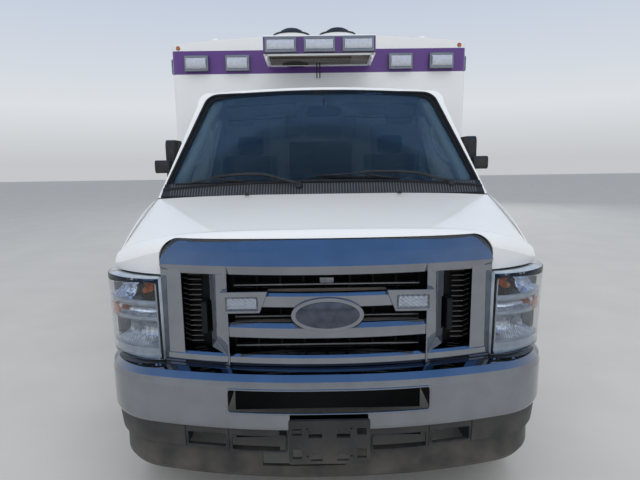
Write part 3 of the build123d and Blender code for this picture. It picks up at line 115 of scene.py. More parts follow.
class Finish:
    """Builds one procedural material node by node."""

    def __init__(self, name, colour, rough, metal=0.0):
        self.material = bpy.data.materials.new(name)
        self.material.use_nodes = True
        self.tree = self.material.node_tree
        self.shader = self.tree.nodes["Principled BSDF"]
        self.set(Metallic=metal, Roughness=rough)
        self.place = self.node("TexCoord", "Object")
        self.colour, self.rough = colour, rough
        self.socket = self.normal = None

    def node(self, kind, out, settings=(), **inputs):
        """Adds a node to this material."""
        return add_node(self.tree, kind, out, settings, **inputs)

    def set(self, **values):
        """Sets or links sockets of the shader."""
        for key, value in values.items():
            feed(self.tree, self.shader.inputs[key.replace("_", " ")], value)
        return self

    def noise(self, scale, detail=4.0, stretch=(1, 1, 1)):
        """A noise field in the object's own place, stretched by the factors."""
        place = self.node("Mapping", "Vector", Scale=stretch, Vector=self.place)
        return self.node("TexNoise", "Fac", Scale=scale, Detail=detail, Vector=place)

    def ramp(self, fac, low, high, start=0.35, end=0.65):
        """Maps a field between two values."""
        limits = {"From_Min": start, "From_Max": end, "To_Min": low, "To_Max": high}
        return self.node("MapRange", "Result", Value=fac, **limits)

    def axis(self, letter):
        """One coordinate of the object's own place."""
        return self.node("SeparateXYZ", letter, Vector=self.place)

    def math(self, operation, first, second):
        """A math node on two fields or numbers."""
        return add_math(self.tree, operation, first, second)

    def wave(self, letter, pitch):
        """A sine wave along one axis."""
        return self.math("SINE", self.math("MULTIPLY", self.axis(letter), pitch), 0.0)

    def blend(self, fac, over):
        """Lays a second colour over the base where the field is high."""
        base = self.colour if self.socket is None else self.socket
        self.socket = self.node("Mix", "Result", MIX_COLOURS, A=base, B=over, Factor=fac)
        return self.set(Base_Color=self.socket)

    def mottle(self, scale, over, amount):
        """Uneven patches of a second colour."""
        return self.blend(self.ramp(self.noise(scale, 6.0), 0.0, amount), over)

    def uneven(self, scale, spread, stretch=(1, 1, 1)):
        """Roughness that wanders by the spread."""
        low, high = max(self.rough - spread, 0.02), min(self.rough + spread, 1.0)
        return self.set(Roughness=self.ramp(self.noise(scale, 5.0, stretch), low, high))

    def rounded(self, radius):
        """Softens hard edges by bending the normal near them."""
        self.normal = self.node("Bevel", "Normal", (("samples", 4),), Radius=radius)
        return self.set(Normal=self.normal)

    def bump(self, field, depth, strength=1.0):
        """Adds relief from a field."""
        inputs = {"Distance": depth, "Strength": strength, "Height": field}
        if self.normal is not None:
            inputs["Normal"] = self.normal
        self.normal = self.node("Bump", "Normal", **inputs)
        return self.set(Normal=self.normal)

    def grain(self, scale, depth, strength=1.0):
        """Fine relief from noise."""
        return self.bump(self.noise(scale, 3.0), depth, strength)

    def plain(self):
        """The material, with its base colour where nothing was blended over it."""
        if self.socket is None:
            self.set(Base_Color=self.colour)
        return self.material


DUST, DUST_FROM = linear(150, 142, 128), 0.3
BAND_LOW, BAND_HIGH = 2.318, 2.502


def road_dust(finish, top, amount):
    """Dust that thins out upwards and breaks up in patches."""
    height = finish.ramp(finish.axis("Z"), amount, 0.0, DUST_FROM, top)
    patches = finish.ramp(finish.noise(9.0, 6.0), 0.25, 1.0)
    return finish.blend(finish.math("MULTIPLY", height, patches), DUST)


def paint(name, colour, band=None):
    """Body paint with a clear coat, faint mottling, road dust and, if asked, the stripe."""
    finish = Finish(name, colour, 0.32).mottle(0.9, dimmed(colour, 0.90), 0.30)
    if band is not None:
        above = finish.math("GREATER_THAN", finish.axis("Z"), BAND_LOW)
        below = finish.math("LESS_THAN", finish.axis("Z"), BAND_HIGH)
        finish.blend(finish.math("MULTIPLY", above, below), band)
    road_dust(finish, 0.9, 0.22)
    return finish.grain(22.0, 0.0003, 0.25).set(Coat_Weight=0.6, Coat_Roughness=0.06).plain()


def layered(name, colour, rough, metal, mottle, uneven=None, dust=None, edge=None, grain=None, **sockets):
    """A finish from its layers, each given as what the Finish method of that layer takes."""
    scale, over, amount = mottle
    finish = Finish(name, linear(*colour), rough, metal).mottle(scale, linear(*over), amount)
    if uneven:
        finish.uneven(*uneven)
    if dust:
        road_dust(finish, *dust)
    if edge:
        finish.rounded(edge)
    if grain:
        finish.grain(*grain)
    return finish.set(**sockets).plain()


WHITE = linear(226, 228, 229)
PURPLE = linear(84, 42, 122)
body_white = paint("body_white", WHITE)
banded_white = paint("banded_white", WHITE, PURPLE)
band_purple = paint("band_purple", PURPLE)
# Chrome darkened below the tone of real chrome: painted dark reflection of the ground, with faint patches and road
# dust.
chrome = layered(
    "chrome_painted_dark_reflection", (146, 150, 157), 0.05, 1.0, (9.0, (122, 126, 134), 0.35),
    uneven=(22.0, 0.025), dust=(0.75, 0.16), edge=0.003, grain=(26.0, 0.0004, 0.2),
)
dark_chrome = layered(
    "dark_chrome", (92, 98, 112), 0.16, 1.0, (30.0, (60, 64, 76), 0.5), uneven=(20.0, 0.05), edge=0.002
)
black_plastic = layered(
    "black_plastic", (30, 31, 33), 0.55, 0.0, (18.0, (58, 57, 55), 0.45),
    uneven=(12.0, 0.12), edge=0.003, grain=(420.0, 0.0006, 0.6),
)
dusty_plastic = layered(
    "dusty_black_plastic", (30, 31, 33), 0.5, 0.0, (9.0, (50, 50, 51), 0.5),
    dust=(0.55, 0.18), edge=0.004, grain=(380.0, 0.0008, 0.6),
)
rubber = layered("seal_rubber", (20, 20, 21), 0.75, 0.0, (40.0, (44, 43, 42), 0.4), grain=(300.0, 0.0005, 0.5))
deep_black = layered("deep_black", (9, 9, 10), 0.8, 0.0, (20.0, (20, 20, 21), 0.6))
tyre_rubber = layered(
    "tyre_rubber", (26, 26, 27), 0.78, 0.0, (14.0, (66, 62, 56), 0.55),
    uneven=(30.0, 0.1), grain=(240.0, 0.001, 0.6),
)
steel = layered(
    "brushed_steel", (150, 152, 156), 0.34, 1.0, (50.0, (108, 106, 102), 0.5),
    uneven=(60.0, 0.1, (1, 1, 8)), edge=0.002,
)
chassis_black = layered(
    "chassis_black", (34, 34, 35), 0.6, 0.1, (7.0, (86, 72, 60), 0.5),
    uneven=(16.0, 0.15), edge=0.003, grain=(120.0, 0.0012, 0.5),
)
cast_grey = layered("cast_grey", (110, 110, 108), 0.55, 0.7, (9.0, (70, 64, 56), 0.6), grain=(150.0, 0.0015, 0.6))


def tread_plate():
    """Aluminium sheet with crossed raised lozenges."""
    finish = Finish("tread_plate", linear(176, 178, 180), 0.3, 1.0)
    finish.mottle(20.0, linear(120, 118, 112), 0.5).rounded(0.002)
    fields = []
    for turn in (45, -45):
        way = (0, 0, math.radians(turn))
        place = finish.node("Mapping", "Vector", Rotation=way, Scale=(70, 26, 26), Vector=finish.place)
        cells = finish.node("TexVoronoi", "Distance", Scale=1.0, Randomness=0.0, Vector=place)
        fields.append(finish.ramp(cells, 1.0, 0.0, 0.25, 0.4))
    return finish.bump(finish.math("MAXIMUM", *fields), 0.0015).plain()


plate = tread_plate()


def moulded(name, colour, rough=0.6):
    """Moulded interior plastic with a leathery grain."""
    base = linear(*colour)
    finish = Finish(name, base, rough).mottle(6.0, dimmed(base, 0.75), 0.5).uneven(8.0, 0.06)
    return finish.rounded(0.003).grain(260.0, 0.0008, 0.6).plain()


trim_grey = moulded("trim_grey", (88, 90, 92))
dash_grey = moulded("dash_grey", (60, 62, 66))
cabinet_cream = moulded("cabinet_cream", (206, 203, 192), 0.4)
floor_grey = moulded("floor_grey", (112, 116, 116), 0.5)
slat_grey = moulded("slat_grey", (112, 105, 99), 0.5)
edge_grey = moulded("edge_grey", (158, 160, 162), 0.4)
pillar_green = moulded("pillar_green", (216, 226, 214))
coil_brown = moulded("coil_brown", (104, 88, 72), 0.7)

cloth = Finish("seat_cloth", linear(72, 74, 80), 0.9).mottle(30.0, linear(48, 50, 56), 0.6)
weave = cloth.math("MULTIPLY", cloth.wave("X", 1400.0), cloth.wave("Z", 1400.0))
seat_cloth = cloth.bump(weave, 0.0006).set(Sheen_Weight=0.3).plain()
vinyl = layered(
    "bench_vinyl", (44, 52, 92), 0.42, 0.0, (8.0, (32, 38, 72), 0.6),
    uneven=(10.0, 0.07), grain=(300.0, 0.0007, 0.5),
)


def glazing(name, colour, rough=0.0, weight=1.0):
    """Clear or tinted glass with the faintest film of dust."""
    finish = Finish(name, linear(*colour), rough).set(Transmission_Weight=weight, IOR=1.45)
    return finish.set(Roughness=finish.ramp(finish.noise(5.0, 6.0), rough + 0.002, rough + 0.03))


tinted_glass = glazing("tinted_glass", (74, 100, 106)).set(Alpha=0.62).plain()
dark_glass = glazing("dark_glass", (58, 66, 70)).plain()
clear_lens = glazing("clear_lens", (240, 243, 245)).plain()
amber_lens = glazing("amber_lens", (255, 130, 20), 0.1, 0.6).mottle(60.0, linear(230, 96, 10), 0.5).plain()
red_lens = glazing("red_lens", (190, 12, 16), 0.1, 0.5).mottle(60.0, linear(130, 6, 10), 0.5).plain()

fluted = Finish("lamp_bowl", linear(222, 226, 232), 0.08, 1.0).mottle(60.0, linear(120, 128, 140), 0.6)
bowl = fluted.bump(fluted.wave("X", 520.0), 0.0012).grain(90.0, 0.002, 0.5).plain()
bowl_plain = layered(
    "lamp_bowl_plain", (215, 220, 228), 0.12, 1.0, (45.0, (130, 140, 155), 0.6), grain=(70.0, 0.003, 0.6)
)
faceted = Finish("lamp_facets", linear(205, 216, 232), 0.08, 1.0).mottle(30.0, linear(96, 120, 168), 0.7)
facets = faceted.bump(faceted.node("TexVoronoi", "Distance", Scale=55.0, Vector=faceted.place), 0.006).plain()
lens_edge = layered(
    "lens_edge", (176, 186, 196), 0.22, 0.0, (24.0, (128, 140, 152), 0.5),
    grain=(60.0, 0.0006, 0.4), Coat_Weight=0.8, Coat_Roughness=0.03,
)


def frosted(name, colour):
    """A lamp's ribbed inside, seen through its clear cover."""
    finish = Finish(name, linear(*colour), 0.18, 0.3).mottle(50.0, linear(120, 126, 138), 0.22)
    return finish.bump(finish.math("MULTIPLY", finish.wave("Z", 420.0), finish.wave("X", 300.0)), 0.0015).plain()


lamp_white = frosted("lamp_white", (206, 210, 218))
lamp_red = frosted("lamp_red", (160, 14, 18))
lamp_amber = frosted("lamp_amber", (240, 120, 16))


# Mesh helpers


def rounded_outline(width, height, radius, centre=(0.0, 0.0), steps=4):
    """A rectangle with rounded corners as a list of points, anticlockwise."""
    points = []
    for sx, sy, start in ((1, 1, 0), (-1, 1, 90), (-1, -1, 180), (1, -1, 270)):
        cx = centre[0] + sx * (width / 2 - radius)
        cy = centre[1] + sy * (height / 2 - radius)
        for k in range(steps + 1):
            angle = math.radians(start + 90 * k / steps)
            points.append((cx + radius * math.cos(angle), cy + radius * math.sin(angle)))
    return points


def ellipse(width, height, centre=(0.0, 0.0), steps=48):
    """An ellipse as a list of points, anticlockwise."""
    turns = [FULL_TURN / steps * k for k in range(steps)]
    return [(centre[0] + width / 2 * math.cos(a), centre[1] + height / 2 * math.sin(a)) for a in turns]


def placed(name, data, material=None):
    """A new object in the scene, with this finish."""
    if material:
        data.materials.append(material)
    made = bpy.data.objects.new(name, data)
    bpy.context.collection.objects.link(made)
    return made


class Piece:
    """Gathers solids into one mesh that rides on one body. A plane is (origin, u, v)."""

    def __init__(self, name):
        self.name = name
        self.mesh = bmesh.new()

    def points(self, places):
        """New points of the mesh."""
        return [self.mesh.verts.new(place) for place in places]

    def box(self, x, distance, z):
        """A block between two limits across, aft and up."""
        y = sorted(aft(limit) for limit in distance)
        points = self.points((a, b, c) for a in sorted(x) for b in y for c in sorted(z))
        for face in ((0, 1, 3, 2), (4, 6, 7, 5), (0, 4, 5, 1), (2, 3, 7, 6), (0, 2, 6, 4), (1, 5, 7, 3)):
            self.mesh.faces.new([points[i] for i in face])
        return self

    def prism(self, outline, depth, plane):
        """An outline in a plane, pushed out along the plane's normal."""
        origin, u, v = (Vector(part) for part in plane)
        push = u.cross(v).normalized() * depth
        near = self.points(origin + u * a + v * b for a, b in outline)
        far = self.points(point.co + push for point in near)
        self.mesh.faces.new(near[::-1])
        self.mesh.faces.new(far)
        for i in range(len(near)):
            j = (i + 1) % len(near)
            self.mesh.faces.new((near[i], near[j], far[j], far[i]))
        return self

    def frame(self, outer, inner, depth, plane):
        """A flat ring between two outlines of equal length, with thickness."""
        origin, u, v = (Vector(part) for part in plane)
        push = u.cross(v).normalized() * depth
        loops = []
        for shift in (Vector(), push):
            for outline in (outer, inner):
                loops.append(self.points(origin + u * a + v * b + shift for a, b in outline))
        for i in range(len(outer)):
            j = (i + 1) % len(outer)
            self.mesh.faces.new((loops[0][i], loops[1][i], loops[1][j], loops[0][j]))
            self.mesh.faces.new((loops[2][j], loops[3][j], loops[3][i], loops[2][i]))
            self.mesh.faces.new((loops[0][j], loops[2][j], loops[2][i], loops[0][i]))
            self.mesh.faces.new((loops[1][i], loops[3][i], loops[3][j], loops[1][j]))
        return self

    def plaque(self, size, centre, depth, plane):
        """A prism with round corners. Its size is (width, height, corner radius)."""
        return self.prism(rounded_outline(*size, centre), depth, plane)

    def ring(self, outer, inner, centre, depth, plane):
        """A flat ring with round corners. Both sizes are (width, height, corner radius)."""
        return self.frame(rounded_outline(*outer, centre), rounded_outline(*inner, centre), depth, plane)

    def lathe(self, profile, origin, axis, steps=32, start=0.0, turn=FULL_TURN):
        """Turns a profile of (along, radius) about an axis, closed at the ends."""
        axis, origin = Vector(axis).normalized(), Vector(origin)
        side = axis.orthogonal().normalized()
        other = axis.cross(side)
        closed = abs(turn - FULL_TURN) < 1e-6
        count = steps if closed else steps + 1
        rings = []
        for k in range(count):
            angle = start + turn * k / steps
            out = side * math.cos(angle) + other * math.sin(angle)
            rings.append(self.points(origin + axis * a + out * r for a, r in profile))
        for k in range(steps):
            here, there = rings[k], rings[(k + 1) % count]
            for i in range(len(profile) - 1):
                self.mesh.faces.new((here[i], there[i], there[i + 1], here[i + 1]))
        return self

    def surface(self, rows):
        """A sheet through rows of points."""
        grid = [self.points(row) for row in rows]
        for low, high in zip(grid, grid[1:]):
            for i in range(len(low) - 1):
                self.mesh.faces.new((low[i], low[i + 1], high[i + 1], high[i]))
        return self

    def finish(self, material, body=ROOT, bevel=0.0, segments=2, thick=0.0, smooth=35.0, weld=False):
        """Makes the object with its finish, edge rounding and thickness, and rides it."""
        if weld:
            bmesh.ops.remove_doubles(self.mesh, verts=self.mesh.verts, dist=1e-5)
        bmesh.ops.recalc_face_normals(self.mesh, faces=self.mesh.faces)
        data = bpy.data.meshes.new(self.name)
        self.mesh.to_mesh(data)
        self.mesh.free()
        data.polygons.foreach_set("use_smooth", [True] * len(data.polygons))
        data.set_sharp_from_angle(angle=math.radians(smooth))
        made = placed(self.name, data, material)
        if thick:
            shell = made.modifiers.new("thickness", "SOLIDIFY")
            shell.thickness = thick
            shell.offset = 0.0
        if bevel:
            edge = made.modifiers.new("edges", "BEVEL")
            edge.width = bevel
            edge.segments = segments
            edge.limit_method = "ANGLE"
            edge.angle_limit = math.radians(40)
        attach(made, body)
        return made


def tube(name, points, radius, material, body=ROOT, closed=False):
    """A round bar or cable along a smooth line, as a curve piece."""
    data = bpy.data.curves.new(name, "CURVE")
    data.dimensions = "3D"
    data.bevel_depth = radius
    data.bevel_resolution = 4
    line = data.splines.new("NURBS")
    line.points.add(len(points) - 1)
    for node, place in zip(line.points, points):
        node.co = (*place, 1)
    line.use_endpoint_u = not closed
    line.use_cyclic_u = closed
    line.order_u = 3
    line.resolution_u = 6
    made = placed(name, data, material)
    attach(made, body)
    return made


def blocks(name, table, material, bevel=0.0015, segments=2):
    """One mesh of blocks, each given as its limits across, aft and up."""
    piece = Piece(name)
    for limits in table:
        piece.box(*limits)
    return piece.finish(material, bevel=bevel, segments=segments)


def around(centre, half):
    """Limits this far to both sides of a centre."""
    return (centre - half, centre + half)


def facing(distance, direction=-1):
    """A plane for outlines seen from the front (or the back), this far aft."""
    return ((0, aft(distance), 0), (-direction, 0, 0), UP)


def sideways(x, side=1):
    """A plane for outlines seen from one side: u runs along +Y on the left, -Y on the right."""
    return ((x, 0, 0), (0, side, 0), UP)


def level(height):
    """A plane for outlines seen from above."""
    return ((0, 0, height), (1, 0, 0), ALONG)


# Finishes of the nodes, by their names without the side at the end

WALLS = "module_left_wall module_right_wall module_front_wall module_rear_wall module_roof"
LOCKER_DOORS = "locker_door_front locker_door_middle locker_door_rear"
NODES_BY_FINISH = (
    (chassis_black, "frame bumper_brackets front_axle rear_axle knuckle"),
    (cast_grey, "engine drivetrain"),
    (steel, "exhaust"),
    (dusty_plastic, "fuel_tank air_dam plate_bracket"),
    (body_white, "cab_shell front_fenders condenser hood cab_door"),
    (banded_white, f"{WALLS} {LOCKER_DOORS} entry_door rear_door"),
    (trim_grey, "cab_floor"),
    (tinted_glass, "windscreen cab_window"),
    (black_plastic, "cowl steering_wheel mirror"),
    (chrome, "grille front_bumper body_lamps front_rim rear_rims"),
    (deep_black, "radiator wheelhouses"),
    (clear_lens, "headlamps"),
    (dash_grey, "dashboard"),
    (seat_cloth, "seats"),
    (floor_grey, "module_floor"),
    (plate, "lockers steps"),
    (cabinet_cream, "cabinets"),
    (vinyl, "bench_cushions"),
    (tyre_rubber, "front_tyre rear_tyres"),
)
NODE_FINISH = {name: material for material, names in NODES_BY_FINISH for name in names.split()}
for node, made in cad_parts.items():
    made.data.materials.clear()
    made.data.materials.append(NODE_FINISH[node.removesuffix("_left").removesuffix("_right")])


# Forms shared with the frame

MODULE_HALF = 1.206
MODULE_REAR = 6.688
TYRE_RADIUS = 0.372
FRONT_AXLE, REAR_AXLE = 0.840, 4.853
SLOPE = Vector((0, math.cos(math.radians(51)), math.sin(math.radians(51))))
INWARD = Vector((0, SLOPE.z, -SLOPE.y))
GLASS_FOOT = Vector((0, aft(1.000), 1.487))
GLASS_RADIUS = 6.39
GLASS_LENGTH = 0.738
GLASS_BOTTOM, GLASS_TOP = 0.930, 0.735


def sagitta(radius, across):
    """How far an arc of this radius falls back at this place across."""
    return radius - math.sqrt(radius**2 - across**2)


def on_glass(across, up, depth):
    """A point on the windscreen: across it, up its slope, and inwards of its outer line."""
    return GLASS_FOOT + Vector((across, 0, 0)) + SLOPE * up + INWARD * (sagitta(GLASS_RADIUS, across) + depth)


def glass_edge(up):
    """Half the windscreen's width, so far up its slope."""
    return GLASS_BOTTOM + (GLASS_TOP - GLASS_BOTTOM) * up / GLASS_LENGTH


def through(first, middle, last, steps):
    """Points along the arc through three points of a plane."""
    (ax, ay), (bx, by), (cx, cy) = first, middle, last
    d = 2 * (ax * (by - cy) + bx * (cy - ay) + cx * (ay - by))
    a2, b2, c2 = ax * ax + ay * ay, bx * bx + by * by, cx * cx + cy * cy
    ox = (a2 * (by - cy) + b2 * (cy - ay) + c2 * (ay - by)) / d
    oy = (a2 * (cx - bx) + b2 * (ax - cx) + c2 * (bx - ax)) / d
    radius = math.hypot(ax - ox, ay - oy)
    start = math.atan2(ay - oy, ax - ox)
    sweep = math.atan2(cy - oy, cx - ox) - start
    sweep = (sweep + math.pi) % FULL_TURN - math.pi
    angles = [start + sweep * k / steps for k in range(steps + 1)]
    return [(ox + radius * math.cos(angle), oy + radius * math.sin(angle)) for angle in angles]


# Windscreen


def screen_outline(inset, steps=6):
    """The windscreen's outline taken in by the inset, with round corners, as (across, up)."""
    low, high = inset, GLASS_LENGTH - inset
    top, bottom = GLASS_TOP - inset, GLASS_BOTTOM - inset
    corners = [Vector(corner) for corner in ((top, high), (-top, high), (-bottom, low), (bottom, low))]
    radius = 0.07
    points = []
    for i, here in enumerate(corners):
        following = corners[(i + 1) % 4]
        before = (corners[i - 1] - here).normalized() * radius
        after = (following - here).normalized() * radius
        for k in range(steps + 1):
            t = k / steps
            bend = (1 - t) ** 2 * (here + before) + 2 * t * (1 - t) * here + t * t * (here + after)
            points.append((bend.x, bend.y))
        middle = (here + following) / 2
        points.append((middle.x, middle.y))
    return points


border = Piece("windscreen_border")
outer, inner = (border.points(on_glass(u, v, 0.0045) for u, v in screen_outline(d)) for d in (0.002, 0.032))
for i in range(len(outer)):
    j = (i + 1) % len(outer)
    border.mesh.faces.new((outer[i], outer[j], inner[j], inner[i]))
border.finish(deep_black, thick=0.001)
tube("windscreen_seal", [on_glass(u, v, 0.001) for u, v in screen_outline(0.0)], 0.007, rubber, closed=True)
foot = [on_glass(GLASS_BOTTOM * (k / 16 - 1), 0.002, -0.004) for k in range(33)]
tube("windscreen_foot_seal", foot, 0.010, rubber)

HUB = ((-0.02, 0.0), (-0.02, 0.021), (0.012, 0.021), (0.020, 0.012), (0.020, 0.0))
# Places along a wiper's blade, and how far inwards of the glass's line its bow lies there
BOW_SPOTS = ((0.12, -0.009), (0.38, -0.022), (0.5, -0.030), (0.62, -0.022), (0.88, -0.009))
# Each wiper: pivot across, aft and up, then hub and both blade ends as across and up the glass
WIPERS = (
    ((-0.137, 0.974, 1.468), (-0.627, 0.045), (-0.861, 0.034), (-0.397, 0.016)),
    ((0.745, 1.030, 1.468), (0.226, 0.048), (-0.045, 0.041), (0.448, 0.026)),
)
for number, (pivot, hub, outer, inner) in enumerate(WIPERS, 1):
    base = Vector((pivot[0], aft(pivot[1]), pivot[2]))
    joint = on_glass(*hub, -0.030)
    middle = on_glass((pivot[0] + hub[0]) / 2, 0.052, -0.048)
    arm = [base + Vector((0, -0.006, 0.012)), base + Vector((-0.07, -0.012, 0.030)), middle, joint]
    tube(f"wiper_arm_{number}", arm, 0.0085, black_plastic)
    tube(f"wiper_blade_{number}", [on_glass(*outer, -0.005), on_glass(*inner, -0.005)], 0.0055, rubber)
    start, reach = Vector(outer), Vector(inner) - Vector(outer)
    bridge = [on_glass(*(start + reach * t), out) for t, out in BOW_SPOTS]
    bridge[2] = joint
    tube(f"wiper_bow_{number}", bridge, 0.0055, black_plastic)
    Piece(f"wiper_hub_{number}").lathe(HUB, base, -INWARD, 20).finish(black_plastic, bevel=0.001)

# Cowl and hood trim

COWL_RADIUS = 4.814
RIBS, RIB_REACH = 111, 0.885
RIB = ((0.9295, 1.416), (0.9590, 1.453), (0.9840, 1.480), (0.9850, 1.477), (0.9620, 1.447), (0.9320, 1.409))
ribs = Piece("cowl_ribs")
for k in range(RIBS):
    across = RIB_REACH * (2 * k / (RIBS - 1) - 1)
    back = sagitta(COWL_RADIUS, across)
    ribs.prism([(aft(d + back), z) for d, z in RIB], 0.0055, sideways(across))
ribs.finish(trim_grey)
lip_spots = [0.93 * (k / 20 - 1) for k in range(41)]
lip_rows = [
    [(x, aft(depth + sagitta(COWL_RADIUS, x)), height) for x in lip_spots]
    for depth, height in ((0.9285, 1.404), (0.9265, 1.412), (0.9300, 1.4165), (0.9330, 1.4155))
]
Piece("cowl_lip").surface(lip_rows).finish(rubber, thick=0.002)
NOZZLE = ((-0.006, 0.0), (-0.006, 0.014), (0.005, 0.012), (0.010, 0.005), (0.010, 0.0))
for name, side in SIDES:
    nozzle = Piece(f"washer_nozzle_{name}").lathe(NOZZLE, (side * 0.42, aft(0.878), 1.429), (0, -0.1, 1), 16)
    nozzle.finish(black_plastic, "hood")

# Headlamps

LAMP_LOW, LAMP_HIGH = 0.768, 1.128
LAMP_DEPTH = 0.105
LAMP_PLAN = through((0.707, 0.187), (0.905, 0.258), (0.980, 0.345), 14) + [(0.989, 0.40), (0.992, 0.430)]
LAMP_TAPER = math.tan(math.radians(1.2))


def lamp_row(side, height, inset, first=0.0, last=1.0, steps=22):
    """Points along the lamp's face at one height, moved inwards, between two fractions of it."""
    plan = [Vector(point) for point in LAMP_PLAN]
    lengths = [0.0]
    for a, b in zip(plan, plan[1:]):
        lengths.append(lengths[-1] + (b - a).length)
    row = []
    for k in range(steps + 1):
        want = lengths[-1] * (first + (last - first) * k / steps)
        i = max(j for j in range(len(plan) - 1) if lengths[j] <= want + 1e-9)
        along = (plan[i + 1] - plan[i]).normalized()
        spot = plan[i] + along * (want - lengths[i])
        spot += Vector((along.y, -along.x)) * ((height - LAMP_LOW) * LAMP_TAPER - inset)
        row.append((side * spot.x, aft(spot.y), height))
    return row


# Sheets behind a headlamp's lens: part, low, high, inset, finish, from, to, hollow, thickness
LAMP_SHEETS = (
    ("low_bowl", 0.822, 0.938, 0.026, bowl, 0.05, 0.93, 0.050, 0.0),
    ("mid_bowl", 0.957, 1.003, 0.018, bowl_plain, 0.05, 0.93, 0.022, 0.0),
    ("amber", 0.944, 0.996, 0.009, amber_lens, 0.56, 0.80, 0.004, 0.003),
    ("top_bowl", 1.028, 1.116, 0.020, facets, 0.36, 0.94, 0.036, 0.0),
    ("top_well", 1.028, 1.116, 0.020, dark_chrome, 0.05, 0.36, 0.060, 0.0),
    ("foot", 0.771, 0.820, 0.007, lens_edge, 0.0, 1.0, 0.0, 0.0),
    ("head", 1.117, 1.127, 0.007, lens_edge, 0.0, 1.0, 0.0, 0.0),
    ("inner_edge", 0.771, 1.127, 0.0065, lens_edge, 0.0, 0.045, 0.0, 0.0),
    ("outer_edge", 0.771, 1.127, 0.0065, lens_edge, 0.945, 1.0, 0.0, 0.0),
)
BULB = ((-0.02, 0.0), (-0.02, 0.016), (0.01, 0.016), (0.02, 0.0112), (0.026, 0.0))
for name, side in SIDES:
    heights = [LAMP_LOW + (LAMP_HIGH - LAMP_LOW) * k / 12 for k in range(13)]
    lens = Piece(f"headlamp_lens_{name}").surface([lamp_row(side, height, 0.002) for height in heights])
    lens_made = lens.finish(clear_lens, thick=0.003, smooth=60)
    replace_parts(lens_made, "headlamps")
    for part, low, high, inset, material, first, last, hollow, thick in LAMP_SHEETS:
        rows = []
        for t in [k / 8 for k in range(9)]:
            depth = inset + hollow * (1 - (2 * t - 1) ** 2)
            rows.append(lamp_row(side, low + (high - low) * t, depth, first, last))
        Piece(f"headlamp_{part}_{name}").surface(rows).finish(material, thick=thick, smooth=60)
    shelves = Piece(f"headlamp_shelves_{name}")
    for low, high in ((0.820, 0.822), (0.939, 0.956), (1.004, 1.027), (1.116, 1.118)):
        for height in (low, high):
            shelves.surface([lamp_row(side, height, 0.010), lamp_row(side, height, 0.10)])
        shelves.surface([lamp_row(side, low, 0.010), lamp_row(side, high, 0.010)])
    shelves.finish(lens_edge, thick=0.001)
    back = [lamp_row(side, height, LAMP_DEPTH) for height in (LAMP_LOW, LAMP_HIGH)]
    Piece(f"headlamp_back_{name}").surface(back).finish(black_plastic, thick=0.002)
    walls = Piece(f"headlamp_walls_{name}")
    for height in (LAMP_LOW + 0.001, LAMP_HIGH - 0.001):
        walls.surface([lamp_row(side, height, inset) for inset in (0.003, LAMP_DEPTH)])
    for spot in (0.0, 1.0):
        walls.surface([
            [lamp_row(side, height, inset, spot, spot, 1)[0] for inset in (0.003, LAMP_DEPTH)]
            for height in (LAMP_LOW, LAMP_HIGH)
        ])
    walls.finish(lens_edge, thick=0.002)
    for label, height, spot, material in (("low", 0.880, 0.45, lamp_white), ("top", 1.066, 0.20, amber_lens)):
        centre = lamp_row(side, height, 0.055, spot, spot, 1)[0]
        piece = Piece(f"headlamp_bulb_{label}_{name}")
        piece.lathe(BULB, centre, (side * 0.3, -1, 0), 20).finish(material)

# Grille

FIN = ((0.236, -0.0010), (0.236, 0.0010), (0.266, 0.0030), (0.266, 0.0012))
# The fins' front edges, drawn as thin strips in a lighter grey than the fins: painted highlight.
FIN_EDGE_HIGHLIGHT = ((0.2345, -0.0014), (0.2345, 0.0014), (0.236, 0.0014), (0.236, -0.0014))
for name, side in SIDES:
    fins, fronts = Piece(f"inlet_fins_{name}"), Piece(f"inlet_fin_edge_highlights_{name}")
    for height in [0.836 + 0.023 * k for k in range(14)]:
        for piece, outline in ((fins, FIN), (fronts, FIN_EDGE_HIGHLIGHT)):
            piece.prism([(aft(d), height + z) for d, z in outline], side * 0.052, sideways(side * 0.541))
    fins.finish(black_plastic)
    # Lighter grey on the fins' front edges: painted highlight.
    fronts.finish(slat_grey)
    # A near-black box behind the fins: painted shade in the inlet.
    backing = Piece(f"inlet_shade_backing_{name}").box((side * 0.512, side * 0.640), (0.268, 0.276), (0.800, 1.160))
    backing.finish(deep_black)
    middle = (side * 0.348, 1.0375)
    marker = Piece(f"grille_marker_{name}").plaque((0.120, 0.046, 0.006), middle, -0.0085, facing(0.1025))
    marker.finish(lamp_white, bevel=0.004, segments=3)
    cover = Piece(f"grille_marker_cover_{name}").plaque((0.130, 0.055, 0.008), middle, 0.006, facing(0.1015))
    cover.finish(clear_lens, bevel=0.002)

BOSS = (0, 0.986)
BOSS_WIDE, BOSS_TALL = 0.262, 0.112
boss = Piece("grille_boss_ring")
boss.frame(ellipse(0.300, 0.146, BOSS), ellipse(BOSS_WIDE, BOSS_TALL, BOSS), -0.012, facing(0.098))
boss.finish(chrome, bevel=0.004, segments=3)
rows = []
for shrink in [1 - k / 6 for k in range(7)]:
    rise = 0.008 * (1 - shrink**2)
    loop = ellipse(BOSS_WIDE * shrink + 1e-4, BOSS_TALL * shrink + 1e-4, BOSS)
    rows.append([(x, aft(0.0935) - rise, z) for x, z in loop + loop[:1]])
Piece("grille_boss_face").surface(rows).finish(dark_chrome, weld=True, smooth=80)

# Bumper, air dam and grille trim

BOW = through((0.0, 0.034), (0.390, 0.056), (0.760, 0.130), 24)


def bow(across):
    """How far aft the bumper's front lies at this place across."""
    reach = min(abs(across), 0.7599)
    for (x0, y0), (x1, y1) in zip(BOW, BOW[1:]):
        if x0 - 1e-9 <= reach <= x1:
            return y0 + (y1 - y0) * (reach - x0) / (x1 - x0)
    return BOW[-1][1]


